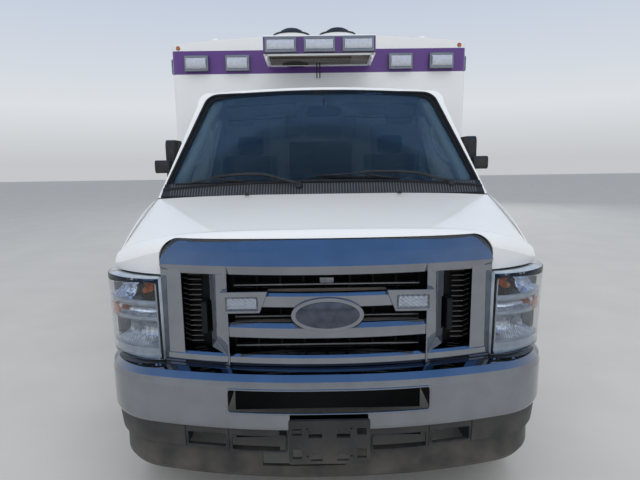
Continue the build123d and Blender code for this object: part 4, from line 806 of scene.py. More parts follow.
def bowed_loop(outline, offset):
    """An outline as across and up, laid on the bumper's curve at this distance behind it."""
    points = []
    for i, (a, b) in enumerate(outline):
        c, d = outline[(i + 1) % len(outline)]
        parts = max(1, int(math.hypot(c - a, d - b) / 0.06))
        for k in range(parts):
            x, z = a + (c - a) * k / parts, b + (d - b) * k / parts
            points.append((x, aft(bow(x) + offset), z))
    return points


stations = [-0.72 + 1.44 * k / 36 for k in range(37)]
filler = [[(x, aft(bow(x) + 0.090), 0.7542) for x in stations], [(x, aft(0.300), 0.7542) for x in stations]]
Piece("bumper_filler").surface(filler).finish(black_plastic, thick=0.001)
slot_lip = bowed_loop(rounded_outline(0.836, 0.103, 0.014, (0, 0.639)), 0.001)
tube("bumper_slot_lip", slot_lip, 0.0045, chrome, closed=True)
# A near-black sheet behind the slot: painted shade in the opening.
blocks("bumper_slot_shade", [((-0.428, 0.428), (0.300, 0.304), (0.470, 0.705))], deep_black)
guides = [(around(-0.40 + 0.10 * k, 0.002), (0.255, 0.299), (0.585, 0.692)) for k in range(9)]
blocks("bumper_slot_guides", guides, black_plastic, bevel=0.0)

for number, across in enumerate((-0.61, -0.42, 0.42, 0.61), 1):
    front = bow(across)
    line = [(across, aft(front + y), z) for y, z in ((0.0118, 0.512), (0.0136, 0.470), (0.0196, 0.411))]
    tube(f"dam_seam_{number}", line, 0.0018, deep_black)
DAM_SLOTS = ((1, 0.180, 0.408, 0.414, 0.482), (2, 0.432, 0.600, 0.425, 0.484))
for name, side in SIDES:
    for number, near, far, low, high in DAM_SLOTS:
        middle = (side * (near + far) / 2, (low + high) / 2)
        rim = rounded_outline(far - near + 0.004, high - low + 0.004, 0.010, middle)
        tube(f"dam_slot_rim_{name}_{number}", bowed_loop(rim, 0.0165), 0.0045, black_plastic, closed=True)
        # A near-black sheet behind each slot: painted shade in the opening.
        back = bow(side * far) + 0.10
        limits = (side * (near + 0.004), side * (far - 0.004)), (back, back + 0.003), (low + 0.002, high - 0.002)
        blocks(f"dam_slot_shade_{name}_{number}", [limits], deep_black)

SLAT_FACES = ((1.047, 1.069), (0.916, 0.934), (0.781, 0.799))
# Thin pale strips above the slat faces, in a lighter grey: painted highlight on the slats' edges.
SLAT_EDGE_HIGHLIGHTS = ((1.084, 1.090), (0.945, 0.951), (0.815, 0.821))
# The slat faces in their own grey, and the pale strips as painted highlight.
for name, spans, material in (("slat_faces", SLAT_FACES, slat_grey), ("slat_edge_highlights", SLAT_EDGE_HIGHLIGHTS, edge_grey)):
    blocks(name, [((-0.397, 0.397), (0.2125, 0.2148), span) for span in spans], material)
blocks("hood_latch", [((-0.030, 0.030), (0.205, 0.2125), (1.092, 1.118))], steel)

# Condenser over the cab

for name, half, front, z, material in (
    ("fascia", 0.4195, 1.9978, (2.399, 2.516), band_purple),
    ("foot_strip", 0.420, 1.9965, (2.3955, 2.4005), rubber),
    ("head_strip", 0.420, 1.9965, (2.5135, 2.5195), edge_grey),
):
    blocks(f"condenser_{name}", [((-half, half), (front, 1.9995), z)], material, bevel=0.0006)


def under(distance):
    """Height of the condenser's underside at this distance."""
    return 2.395 - 0.027 * (distance - 2.0) / 0.31


recess = [[(x, aft(d), under(d) - 0.0015) for x in (-0.385, 0.385)] for d in (2.030, 2.290)]
Piece("condenser_recess").surface(recess).finish(slat_grey, thick=0.001)
rims = [((-0.405, 0.405), d) for d in ((2.012, 2.026), (2.290, 2.304))]
rims += [(x, (2.012, 2.304)) for x in ((-0.405, -0.391), (0.391, 0.405))]
blocks("condenser_recess_rim", [(x, d, (under(d[1]) - 0.008, under(d[0]) + 0.001)) for x, d in rims], body_white)
coils = [(around(-0.36 + 0.60 * k / 59, 0.0016), (2.075, 2.215), (2.366, 2.386)) for k in range(60)]
blocks("condenser_coil", coils, coil_brown, bevel=0.0)
for number, distance in enumerate((2.095, 2.135, 2.175, 2.205), 1):
    tube(f"condenser_pipe_{number}", [(x, aft(distance), 2.376) for x in (-0.37, 0.25)], 0.005, steel)
# A near-black disc on the underside: painted shade of the opening in it.
opening = ((0.0, 0.0), (0.0, 0.105), (0.004, 0.105), (0.004, 0.0))
Piece("condenser_opening_shade").lathe(opening, (-0.19, aft(2.262), 2.3655), UP, 40).finish(deep_black)
HOSE = ((2.225, 2.372), (2.270, 2.350), (2.300, 2.310), (2.330, 2.27))
for number, across in enumerate((-0.020, 0.004), 1):
    tube(f"condenser_hose_{number}", [(across, aft(d), z) for d, z in HOSE], 0.0045, rubber)
FAN_COVER = (
    (0.4455, 0.0), (0.4455, 0.0555), (0.4310, 0.0835), (0.4130, 0.0975), (0.4032, 0.1415), (0.3900, 0.1420)
)
guards = Piece("fan_guards")
for across in (-0.212, 0.142):
    for radius in (0.016, 0.030, 0.044):
        low, high = around(radius, 0.0018)
        guards.lathe([(0.0, low), (0.003, low), (0.003, high), (0.0, high)], (across, aft(2.160), 2.6042), UP, 32)
    guards.lathe(FAN_COVER, (across, aft(2.160), 2.160), UP, 40)
guards.finish(black_plastic, smooth=50)

# Warning lamps


def warning_lamp(rings, lens, centre, across, wide, tall, proud, bulge=1.0):
    """Adds a rounded bezel to one mesh and a bulged lens to another, in the plane given."""
    middle, u, v = Vector(centre), Vector(across), Vector(UP)
    push = u.cross(v)
    rings.ring((wide, tall, 0.020), (wide - 0.036, tall - 0.032, 0.012), (0.0, 0.0), proud, (middle, u, v))
    half, rise = wide / 2 - 0.016, tall / 2 - 0.014
    for k in range(7):
        rows = []
        for s in (2 * k / 7 - 1, 2 * (k + 1) / 7 - 1):
            depth = 0.001 + proud * bulge * max(0.0, 1 - s * s) ** 0.5
            rows.append([middle + u * (half * a / 6) + v * (rise * s) + push * depth for a in range(-6, 7)])
        lens.surface(rows)


LAMP_Z = 2.398
SIDE_LAMP_FACE = 1.228  # so far in that bezel and lens stay within the vehicle's width
REAR_LAMP_FACE = 6.722
HALF_TOP, HALF_LONG, HALF_TALL, HALF_TAIL = 0.117, 0.097, 0.062, 0.078
LONG_LAMP = (0.192, 0.122, 0.010)
TAIL_X = 1.030
# The lamps of each row: where they sit across, aft or up, and their tone
TOP_ROW = (-0.288, 0.0, 0.288)
FRONT_ROW = ((0.665, "clear"), (0.998, "clear"))
SIDE_ROW = ((2.56, "red"), (3.05, "clear"), (4.48, "clear"), (5.90, "clear"), (6.42, "red"))
REAR_ROW = ((0.300, "clear"), (0.780, "amber"), (1.050, "red"))
TAIL_STACK = ((0.960, "clear"), (1.130, "amber"), (1.300, "red"))
lamp_heights, rear_depth = around(LAMP_Z, HALF_TALL), (MODULE_REAR, REAR_LAMP_FACE)
housings = [(around(x, HALF_TOP), (1.976, 2.000), (2.403, 2.510)) for x in TOP_ROW]
for _, side in SIDES:
    housings += [(around(side * x, HALF_LONG), (2.330, 2.370), lamp_heights) for x, _ in FRONT_ROW]
    span = (side * MODULE_HALF, side * SIDE_LAMP_FACE)
    housings += [(span, around(distance, HALF_LONG), lamp_heights) for distance, _ in SIDE_ROW]
    housings += [(around(side * x, HALF_LONG), rear_depth, lamp_heights) for x, _ in REAR_ROW]
    housings += [(around(side * TAIL_X, HALF_TAIL), rear_depth, around(z, HALF_TAIL)) for z, _ in TAIL_STACK]
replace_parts(blocks("lamp_housings", housings, chrome, bevel=0.001), "body_lamps")
bezels = Piece("warning_lamp_bezels")
tones = {tone: Piece(f"warning_lamp_{tone}") for tone in ("clear", "red", "amber")}
for across in TOP_ROW:
    warning_lamp(bezels, tones["clear"], (across, aft(1.9755), 2.4565), (1, 0, 0), 0.232, 0.104, 0.010, 2.4)
for _, side in SIDES:
    for across, tone in FRONT_ROW:
        warning_lamp(bezels, tones[tone], (side * across, aft(2.3295), LAMP_Z), (1, 0, 0), *LONG_LAMP, 2.4)
    for distance, tone in SIDE_ROW:
        place = (side * (SIDE_LAMP_FACE + 0.0005), aft(distance), LAMP_Z)
        warning_lamp(bezels, tones[tone], place, (0, side, 0), *LONG_LAMP)
    rear_face = aft(REAR_LAMP_FACE + 0.0005)
    for across, tone in REAR_ROW:
        warning_lamp(bezels, tones[tone], (side * across, rear_face, LAMP_Z), (-1, 0, 0), *LONG_LAMP, 2.0)
    for height, tone in TAIL_STACK:
        warning_lamp(bezels, tones[tone], (side * TAIL_X, rear_face, height), (-1, 0, 0), 0.154, 0.154, 0.012)
bezels.finish(chrome, bevel=0.003)
for tone, material in (("clear", lamp_white), ("red", lamp_red), ("amber", lamp_amber)):
    tones[tone].finish(material, weld=True, smooth=60)

DOME = ((-0.03, 0.0), (-0.03, 0.040), (0.004, 0.040), (0.0185, 0.030), (0.0255, 0.0))
roof_domes, marker_bases, corner_markers = Piece("roof_domes"), Piece("marker_bases"), Piece("corner_markers")
for _, side in SIDES:
    for distance in (2.45, 6.60):
        roof_domes.lathe(DOME, (side * 0.86, aft(distance), 2.590), UP, 28)
    for across in (1.150, 0.180):
        for distance, forward in ((2.3690, -1), (6.6890, 1)):
            spot, way = (side * across, aft(distance), 2.524), (0, forward, 0)
            marker_bases.lathe([(-0.004, 0.0), (-0.004, 0.017), (0.002, 0.017), (0.004, 0.013)], spot, way, 24)
            corner_markers.lathe([(0.003, 0.013), (0.009, 0.010), (0.012, 0.0)], spot, way, 24)
roof_domes.finish(body_white, smooth=50)
marker_bases.finish(chrome)
corner_markers.finish(amber_lens)

# Cab trim

# In from the glass's edge and behind it: the pillar's section, and the grab handle with its height
PILLAR = ((0.030, 0.022), (0.060, 0.030), (0.085, 0.055), (0.090, 0.090))
GRAB = (
    (0.22, 0.085, 0.060), (0.25, 0.100, 0.095), (0.36, 0.112, 0.110), (0.47, 0.106, 0.095), (0.50, 0.088, 0.060)
)
for name, side in SIDES:
    rows = []
    for up in [0.03 + 0.70 * k / 12 for k in range(13)]:
        rows.append([on_glass(side * (glass_edge(up) - inset), up, depth) for inset, depth in PILLAR])
    Piece(f"pillar_trim_{name}").surface(rows).finish(pillar_green, thick=0.002, smooth=60)
    grab = [on_glass(side * (glass_edge(up) - inset), up, depth) for up, inset, depth in GRAB]
    tube(f"pillar_grab_{name}", grab, 0.011, pillar_green)
    rows = []
    for far, up, depth in ((0.62, 0.66, 0.050), (0.60, 0.56, 0.062)):
        rows.append([on_glass(side * across, up, depth) for across in (0.16, far)])
    Piece(f"sun_visor_{name}").surface(rows).finish(trim_grey, bevel=0.004, thick=0.014)

spot = on_glass(0.02, 0.600, 0.055)
behind = spot.y - FRONT
mirror = Piece("inside_mirror").plaque((0.235, 0.062, 0.026), (spot.x, spot.z), -0.022, facing(behind))
mirror.finish(black_plastic, bevel=0.006, segments=3)
pane = Piece("inside_mirror_pane")
pane.plaque((0.219, 0.048, 0.022), (spot.x, spot.z), -0.0012, facing(behind + 0.022)).finish(chrome)
stem = [on_glass(0.02, 0.665, 0.006), on_glass(0.02, 0.640, 0.030), spot + Vector((0, 0.004, 0.02))]
tube("inside_mirror_stem", stem, 0.008, black_plastic)

pass_frame = Piece("pass_frame").ring((0.62, 0.68, 0.05), (0.52, 0.58, 0.02), (0, 1.47), 0.010, facing(2.3105))
pass_frame.finish(edge_grey, bevel=0.003)
blocks("pass_pane", [((-0.262, 0.262), (2.356, 2.360), (1.178, 1.762))], dark_glass, bevel=0.0)
console = ((-0.21, -0.07), (1.560, 1.640), (1.400, 1.560))
blocks("cab_console_box", [console], black_plastic, bevel=0.008, segments=3)
stalk = [(-0.14, aft(d), z) for d, z in ((1.60, 1.41), (1.62, 1.30), (1.66, 1.16))]
tube("cab_console_stalk", stalk, 0.012, black_plastic)

# Box body doors, handles and edges


def latch(node, plane, grip, base, well, paddle, drop, depth):
    """A door's latch: a plate, a near-black pad as painted shade of its well, and a paddle, each (width, height,
    corner radius).
    """
    Piece(f"{node}_latch_plate").plaque(base, grip, 0.004, plane).finish(chrome, node, bevel=0.002)
    # A near-black pad on the plate: painted shade of the latch's well.
    Piece(f"{node}_latch_well_shade").plaque(well, grip, 0.0052, plane).finish(deep_black, node, bevel=0.001)
    handle = Piece(f"{node}_latch_paddle").plaque(paddle, (grip[0], grip[1] - drop), depth, plane)
    handle.finish(chrome, node, bevel=0.004, segments=3)


def pressed_panel(node, wide, tall, centre, plane):
    """A low ring on a door, for the edge of its pressed panel."""
    panel = Piece(f"{node}_pressed_panel")
    panel.ring((wide, tall, 0.030), (wide - 0.016, tall - 0.016, 0.022), centre, 0.0025, plane)
    panel.finish(banded_white, node, bevel=0.001)


LOCKERS = (
    # name, side, opening from, to, low, high
    ("locker_door_front_left", 1, 2.500, 3.150, 0.520, 2.150),
    ("locker_door_middle_left", 1, 3.250, 4.300, 0.520, 1.450),
    ("locker_door_rear_left", 1, 5.400, 6.450, 0.520, 1.750),
    ("locker_door_rear_right", -1, 5.500, 6.450, 0.520, 2.100),
    ("entry_door", -1, 2.620, 3.420, 0.580, 2.290),
)
DRIP_RAIL = ((0.001, 0.034), (0.018, 0.028), (0.018, 0.024), (0.001, 0.026))
LOCK = ((-0.008, 0.0), (-0.008, 0.011), (0.0, 0.011), (0.001, 0.0))
for node, side, front, rear, low, high in LOCKERS:
    skin = side * MODULE_HALF
    plane = sideways(skin, side)
    wide, tall = rear - front, high - low
    middle = (side * aft((front + rear) / 2), (low + high) / 2)
    edging = Piece(f"{node}_edging")
    edging.ring((wide + 0.040, tall + 0.040, 0.030), (wide + 0.002, tall + 0.002, 0.006), middle, 0.0035, plane)
    edging.finish(edge_grey, bevel=0.001)
    drip = Piece(f"{node}_drip_rail")
    section = [(skin + side * out, high + rise) for out, rise in DRIP_RAIL]
    drip.prism(section, wide + 0.08, ((0, aft(rear + 0.04), 0), (1, 0, 0), UP)).finish(steel, bevel=0.0008)
    if node == "entry_door":
        pressed_panel(node, wide - 0.110, 0.640, (middle[0], 0.975), plane)
    else:
        pressed_panel(node, wide - 0.110, tall - 0.110, middle, plane)
    knuckles = Piece(f"{node}_hinge")
    count = max(3, int(tall / 0.09))
    span = (tall - 0.06) / count - 0.004
    for start in [low + 0.03 + (tall - 0.06) * k / count for k in range(count)]:
        foot = (side * (MODULE_HALF + 0.0015), aft(front + 0.004), start)
        knuckles.lathe([(0.0, 0.0), (0.0, 0.0045), (span, 0.0045), (span, 0.0)], foot, UP, 12)
    knuckles.finish(steel)
    grip = (side * aft(rear - 0.085), min(1.18, (low + high) / 2))
    latch(node, plane, grip, (0.112, 0.136, 0.016), (0.084, 0.100, 0.012), (0.076, 0.046, 0.010), 0.020, 0.011)
    place = (skin + side * 0.011, side * grip[0], grip[1] + 0.028)
    Piece(f"{node}_lock").lathe(LOCK, place, (side, 0, 0), 20).finish(steel, node)


def window(name, body, plane, centre, wide, tall, split, glass):
    """A black frame with a rubber gasket and a pane and, if asked, the bar of a sliding split."""
    ring = Piece(f"{name}_frame")
    ring.ring((wide + 0.050, tall + 0.050, 0.055), (wide - 0.012, tall - 0.012, 0.030), centre, 0.006, plane)
    ring.finish(black_plastic, body, bevel=0.002)
    gasket = Piece(f"{name}_gasket")
    gasket.ring((wide - 0.012, tall - 0.012, 0.028), (wide - 0.028, tall - 0.028, 0.028), centre, -0.030, plane)
    gasket.finish(rubber, body)
    Piece(f"{name}_pane").box(*glass).finish(dark_glass, body)
    if split:
        (x0, x1), (z0, z1) = around(centre[0], 0.009), around(centre[1], tall / 2)
        bar = Piece(f"{name}_split").prism([(x0, z0), (x1, z0), (x1, z1), (x0, z1)], 0.003, plane)
        bar.finish(black_plastic, body, bevel=0.001)


entry_glass = ((-1.186, -1.180), (2.765, 3.275), (1.475, 2.085))
entry_plane = sideways(-MODULE_HALF, -1)
window("entry_window", "entry_door", entry_plane, (-aft(3.020), 1.780), 0.500, 0.600, True, entry_glass)

REAR_SKIN = aft(MODULE_REAR)
back_plane = facing(MODULE_REAR, 1)
BARREL = ((0.0, 0.0), (0.0, 0.006), (0.110, 0.006), (0.110, 0.0))
GRAB_RAIL = ((0, 1.42), (0.045, 1.44), (0.050, 1.50), (0.050, 1.95), (0.045, 2.01), (0, 2.03))
GRAB_FOOT = ((-0.002, 0.0), (-0.002, 0.030), (0.006, 0.027), (0.010, 0.0))
for name, side in SIDES:
    node = f"rear_door_{name}"
    glass = ((side * 0.115, side * 0.505), (MODULE_REAR - 0.028, MODULE_REAR - 0.022), (1.495, 2.065))
    window(f"rear_window_{name}", node, back_plane, (-side * 0.310, 1.780), 0.380, 0.560, False, glass)
    sizes = (0.100, 0.170, 0.016), (0.074, 0.132, 0.012), (0.060, 0.070, 0.010)
    latch(node, back_plane, (-side * 0.085, 1.20), *sizes, 0.025, 0.012)
    pressed_panel(node, 0.500, 0.460, (-side * 0.335, 1.065), back_plane)
    hinges = Piece(f"{node}_hinges")
    for height in (1.000, 1.550, 2.120):
        hinges.lathe(BARREL, (side * 0.6292, REAR_SKIN + 0.0067, height - 0.055), UP, 16)
        leaf = (MODULE_REAR - 0.001, MODULE_REAR + 0.004)
        hinges.box((side * 0.632, side * 0.700), leaf, around(height, 0.050))
    hinges.finish(chrome, bevel=0.002)
    tube(f"rear_grab_{name}", [(side * 0.720, REAR_SKIN + out, z) for out, z in GRAB_RAIL], 0.014, chrome)
    feet = Piece(f"rear_grab_feet_{name}")
    for height in (1.42, 2.03):
        feet.lathe(GRAB_FOOT, (side * 0.720, REAR_SKIN, height), ALONG, 24)
    feet.finish(chrome)
edging = Piece("rear_doorway_edging")
edging.ring((1.300, 1.545, 0.030), (1.256, 1.494, 0.006), (0, 1.545), 0.0035, back_plane)
edging.finish(edge_grey, bevel=0.001)
reflectors = Piece("rear_reflectors")
for _, side in SIDES:
    reflectors.plaque((0.110, 0.045, 0.008), (side * 1.000, 0.790), 0.007, back_plane)
reflectors.finish(red_lens, bevel=0.002)
treads = Piece("rear_step_treads")
for k in range(24):
    treads.plaque((0.030, 0.150, 0.014), (-1.06 + 2.12 * k / 23, aft(6.835)), 0.0035, level(0.590))
treads.finish(deep_black)


def round_axle(x, distance, radius, angle):
    """A point at this angle and radius round a wheel's centre."""
    return (x, aft(distance) + radius * math.cos(angle), TYRE_RADIUS + radius * math.sin(angle))


# The arch trim's section, as radius about the axle and reach across
ARCH = ((0.4495, 1.180), (0.4495, 1.2105), (0.4760, 1.2105), (0.4790, 1.2050))
for name, side in SIDES:
    rows = []
    for radius, reach in ARCH:
        angles = [math.radians(11.5 + 157 * k / 48) for k in range(49)]
        rows.append([round_axle(side * reach, REAR_AXLE, radius, angle) for angle in angles])
    Piece(f"arch_trim_{name}").surface(rows).finish(steel, thick=0.002)
    flap = Piece(f"mud_flap_{name}").plaque((0.440, 0.420, 0.020), (side * 0.960, 0.330), -0.008, facing(5.330))
    flap.finish(rubber, bevel=0.002)
    blocks(f"mud_flap_clamp_{name}", [((side * 0.745, side * 1.175), (5.327, 5.335), (0.520, 0.560))], steel)
    reach = (side * 1.2055, side * 1.2085)
    blocks(f"skirt_guard_{name}", [(reach, d, (0.462, 0.506)) for d in ((2.40, 4.385), (5.325, 6.66))], plate)

fuel_plane, fuel_place = sideways(MODULE_HALF), (aft(REAR_AXLE), 1.060)
edging = Piece("fuel_door_edging")
edging.ring((0.230, 0.230, 0.030), (0.190, 0.190, 0.020), fuel_place, 0.004, fuel_plane)
edging.finish(steel, bevel=0.001)
fuel_door = Piece("fuel_door").plaque((0.184, 0.184, 0.018), fuel_place, 0.003, fuel_plane)
fuel_door.finish(banded_white, bevel=0.002)

CAB_LOCK = ((-0.004, 0.0), (-0.004, 0.010), (0.002, 0.010), (0.003, 0.0))
for name, side in SIDES:
    body = f"cab_door_{name}"
    well = Piece(f"cab_handle_well_{name}")
    well.plaque((0.190, 0.066, 0.020), (side * aft(2.120), 1.205), 0.007, sideways(side * 0.9985, side))
    well.finish(black_plastic, body, bevel=0.003)
    lever = Piece(f"cab_handle_{name}")
    lever.plaque((0.150, 0.034, 0.014), (side * aft(2.112), 1.214), 0.010, sideways(side * 1.0045, side))
    lever.finish(black_plastic, body, bevel=0.005, segments=3)
    lock = Piece(f"cab_lock_{name}").lathe(CAB_LOCK, (side * 1.0065, aft(2.200), 1.196), (side, 0, 0), 20)
    lock.finish(steel, body)

# Wheels

# Half of the tyre's section, from the middle of the tread to the bead, as across and radius
TYRE_HALF = (
    (0.0, 0.3718), (0.010, 0.3716), (0.0125, 0.364), (0.0195, 0.364), (0.022, 0.3712), (0.042, 0.3700),
    (0.0445, 0.3622), (0.0515, 0.3622), (0.054, 0.3693), (0.074, 0.3677), (0.088, 0.3622), (0.0955, 0.3540),
    (0.0995, 0.3440), (0.1030, 0.3340), (0.1050, 0.3320), (0.1092, 0.3120), (0.1120, 0.2860), (0.1118, 0.2700),
    (0.1100, 0.2580), (0.1108, 0.2565), (0.1085, 0.2480), (0.1030, 0.2360), (0.1000, 0.2290), (0.0905, 0.2215),
    (0.0900, 0.2045),
)
TYRE_PROFILE = [(-a, r) for a, r in reversed(TYRE_HALF[1:])] + list(TYRE_HALF)
TYRE_STEPS = 180


def tread_cut(across, radius, k):
    """How deep the tread is cut at this step round the tyre."""
    if across > 0.060 and radius > 0.350 and k % 3 == 0:
        return 0.006
    if (across < 0.012 and k % 6 == 0) or (0.0215 < across < 0.0425 and k % 3 == 1):
        return 0.003
    return 0.0


def treaded(name, centre, distance, node, body):
    """A tyre with ribs, cross cuts and side wall rings, in place of the plain one."""
    piece = Piece(name)
    rings = []
    for k in range(TYRE_STEPS):
        angle = FULL_TURN * k / TYRE_STEPS
        section = [(centre + a, r - tread_cut(abs(a), r, k)) for a, r in TYRE_PROFILE]
        rings.append(piece.points(round_axle(x, distance, radius, angle) for x, radius in section))
    for k in range(TYRE_STEPS):
        here, there = rings[k], rings[(k + 1) % TYRE_STEPS]
        for i in range(len(TYRE_PROFILE) - 1):
            piece.mesh.faces.new((here[i], there[i], there[i + 1], here[i + 1]))
        piece.mesh.faces.new((here[-1], there[-1], there[0], here[0]))
    made = piece.finish(tyre_rubber, body, smooth=40)
    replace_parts(made, node)


CALIPER = (
    (-0.034, 0.112), (-0.034, 0.166), (-0.016, 0.170), (0.016, 0.170), (0.034, 0.166), (0.034, 0.112),
    (0.016, 0.108), (0.016, 0.160), (-0.016, 0.160), (-0.016, 0.108), (-0.034, 0.112),
)
COIL_TURNS, COIL_STEPS, COIL_RADIUS = 6, 14, 0.0545
for name, side in SIDES:
    treaded(f"front_tread_{name}", side * 0.885, FRONT_AXLE, f"front_tyre_{name}", f"front_wheel_{name}")
    twins, wheels = f"rear_tyres_{name}", f"rear_wheels_{name}"
    for number, centre in enumerate((1.085, 0.835), 1):
        treaded(f"rear_tread_{name}_{number}", side * centre, REAR_AXLE, twins, wheels)
    for label, axle, face, circle, radius, body in (
        ("front", FRONT_AXLE, 0.972, 0.096, 0.0135, f"front_wheel_{name}"),
        ("rear", REAR_AXLE, 0.960, 0.1075, 0.0100, wheels),
    ):
        nuts, studs = Piece(f"{label}_nuts_{name}"), Piece(f"{label}_studs_{name}")
        nut = [(-0.002, 0.0), (-0.002, radius), (0.016, radius), (0.020, radius * 0.7), (0.020, 0.0)]
        stud = [(0.018, 0.0), (0.018, radius * 0.5), (0.026, radius * 0.5), (0.027, 0.0)]
        for k in range(8):
            spot = round_axle(side * face, axle, circle, math.radians(45 * k))
            nuts.lathe(nut, spot, (side, 0, 0), 6)
            studs.lathe(stud, spot, (side, 0, 0), 12)
        nuts.finish(steel, body, bevel=0.001, smooth=20)
        studs.finish(cast_grey, body)
    caliper, hub = Piece(f"brake_caliper_{name}"), (side * 0.873, aft(FRONT_AXLE), TYRE_RADIUS)
    caliper.lathe(CALIPER, hub, (1, 0, 0), 10, math.radians(-30), math.radians(66))
    caliper.finish(cast_grey, f"knuckle_{name}", thick=0.002)
    spring = []
    for k in range(COIL_TURNS * COIL_STEPS + 1):
        angle = FULL_TURN * k / COIL_STEPS
        out, along = COIL_RADIUS * math.cos(angle), COIL_RADIUS * math.sin(angle)
        height = 0.412 + 0.218 * k / (COIL_TURNS * COIL_STEPS)
        spring.append((side * 0.560 + out, aft(FRONT_AXLE) + along, height))
    tube(f"coil_spring_{name}", spring, 0.0075, cast_grey)

# Cushions and seats

PUFF_FRAMES = 20


def simulated(maker, rest, cap):
    """The points of a block after cloth under pressure, none moved farther than the cap."""
    puff = maker.modifiers.new("puff", "CLOTH")
    puff.settings.use_pressure = True
    puff.settings.uniform_pressure_force = 4.0
    puff.settings.effector_weights.gravity = 0.0
    puff.settings.quality = 4
    puff.point_cache.frame_start, puff.point_cache.frame_end = 1, PUFF_FRAMES
    for step in range(1, PUFF_FRAMES + 1):
        bpy.context.scene.frame_set(step)
    shaped = maker.evaluated_get(bpy.context.evaluated_depsgraph_get()).data
    moved = []
    for old, point in zip(rest, shaped.vertices):
        shift = point.co - old
        moved.append(old + shift * min(1.0, cap / max(shift.length, 1e-9)))
    maker.modifiers.clear()
    bpy.context.scene.frame_set(1)
    return moved


def puffed(size, voxel, cap):
    """A stuffed block of this size: remeshed, puffed up by cloth under pressure, and fitted."""
    block = bmesh.new()
    bmesh.ops.create_cube(block, size=1.0)
    start = [max(length - min(0.9 * cap, 0.4 * length), 0.02) for length in size]
    for point in block.verts:
        point.co = Vector([c * s for c, s in zip(point.co, start)])
    bmesh.ops.bevel(
        block, geom=block.edges[:], offset=min(start) * 0.22, segments=2, affect="EDGES", profile=0.6
    )
    data = bpy.data.meshes.new("stuffing")
    block.to_mesh(data)
    block.free()
    maker = placed("stuffing", data)
    remesh = maker.modifiers.new("voxels", "REMESH")
    remesh.mode = "VOXEL"
    remesh.voxel_size = voxel
    graph = bpy.context.evaluated_depsgraph_get()
    fine = bpy.data.meshes.new_from_object(maker.evaluated_get(graph))
    maker.modifiers.clear()
    maker.data = fine
    rest = [point.co.copy() for point in fine.vertices]
    moved = simulated(maker, rest, cap)
    low = Vector([min(point[i] for point in moved) for i in range(3)])
    high = Vector([max(point[i] for point in moved) for i in range(3)])
    for point, place in zip(fine.vertices, moved):
        point.co = Vector([((place[i] - low[i]) / (high[i] - low[i]) - 0.5) * size[i] for i in range(3)])
    bpy.data.objects.remove(maker)
    return fine


FORMS = {}


def cushion(name, size, centre, material, node, lean=0.0, voxel=0.014, cap=0.024, seams=()):
    """Places a stuffed form, with a sewn edge round it and seams across its top or face."""
    key = tuple(round(length, 4) for length in size)
    if key not in FORMS:
        FORMS[key] = puffed(size, voxel, cap)
    data = FORMS[key].copy()
    tree = BVHTree.FromPolygons([v.co[:] for v in data.vertices], [p.vertices[:] for p in data.polygons])
    turn = Matrix.Translation(Vector(centre)) @ Matrix.Rotation(-lean, 4, "X")
    thin = min(range(3), key=lambda i: size[i])
    flat = [i for i in range(3) if i != thin]
    loop = []
    for k in range(64):
        angle = FULL_TURN * k / 64
        way = Vector((0, 0, 0))
        way[flat[0]], way[flat[1]] = math.cos(angle) * size[flat[0]], math.sin(angle) * size[flat[1]]
        hit = tree.ray_cast(way * 2, -way.normalized())[0]
        if hit is not None:
            loop.append(turn @ hit)
    lines = [(loop, True)]
    for axis, share, direction in seams:
        other = [i for i in flat if i != axis][0]
        row = []
        for k in range(25):
            start, way = Vector((0, 0, 0)), Vector((0, 0, 0))
            start[axis] = share * size[axis] / 2
            start[other] = (k / 24 - 0.5) * size[other] * 0.93
            start[thin] = direction * size[thin] * 2
            way[thin] = -direction
            hit = tree.ray_cast(start, way)[0]
            if hit is not None:
                row.append(turn @ (hit + way * 0.0005))
        lines.append((row, False))
    data.transform(turn)
    data.materials.clear()
    data.polygons.foreach_set("use_smooth", [True] * len(data.polygons))
    made = placed(name, data, material)
    smooth = made.modifiers.new("smooth", "SUBSURF")
    smooth.levels = smooth.render_levels = 1
    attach(made, ROOT)
    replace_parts(made, node)
    for number, (points, closed) in enumerate(lines, 1):
        if len(points) > 3:
            tube(f"{name}_seam_{number}", points, 0.0028, material, closed=closed)


LEAN = math.atan2(0.0975, 0.590)
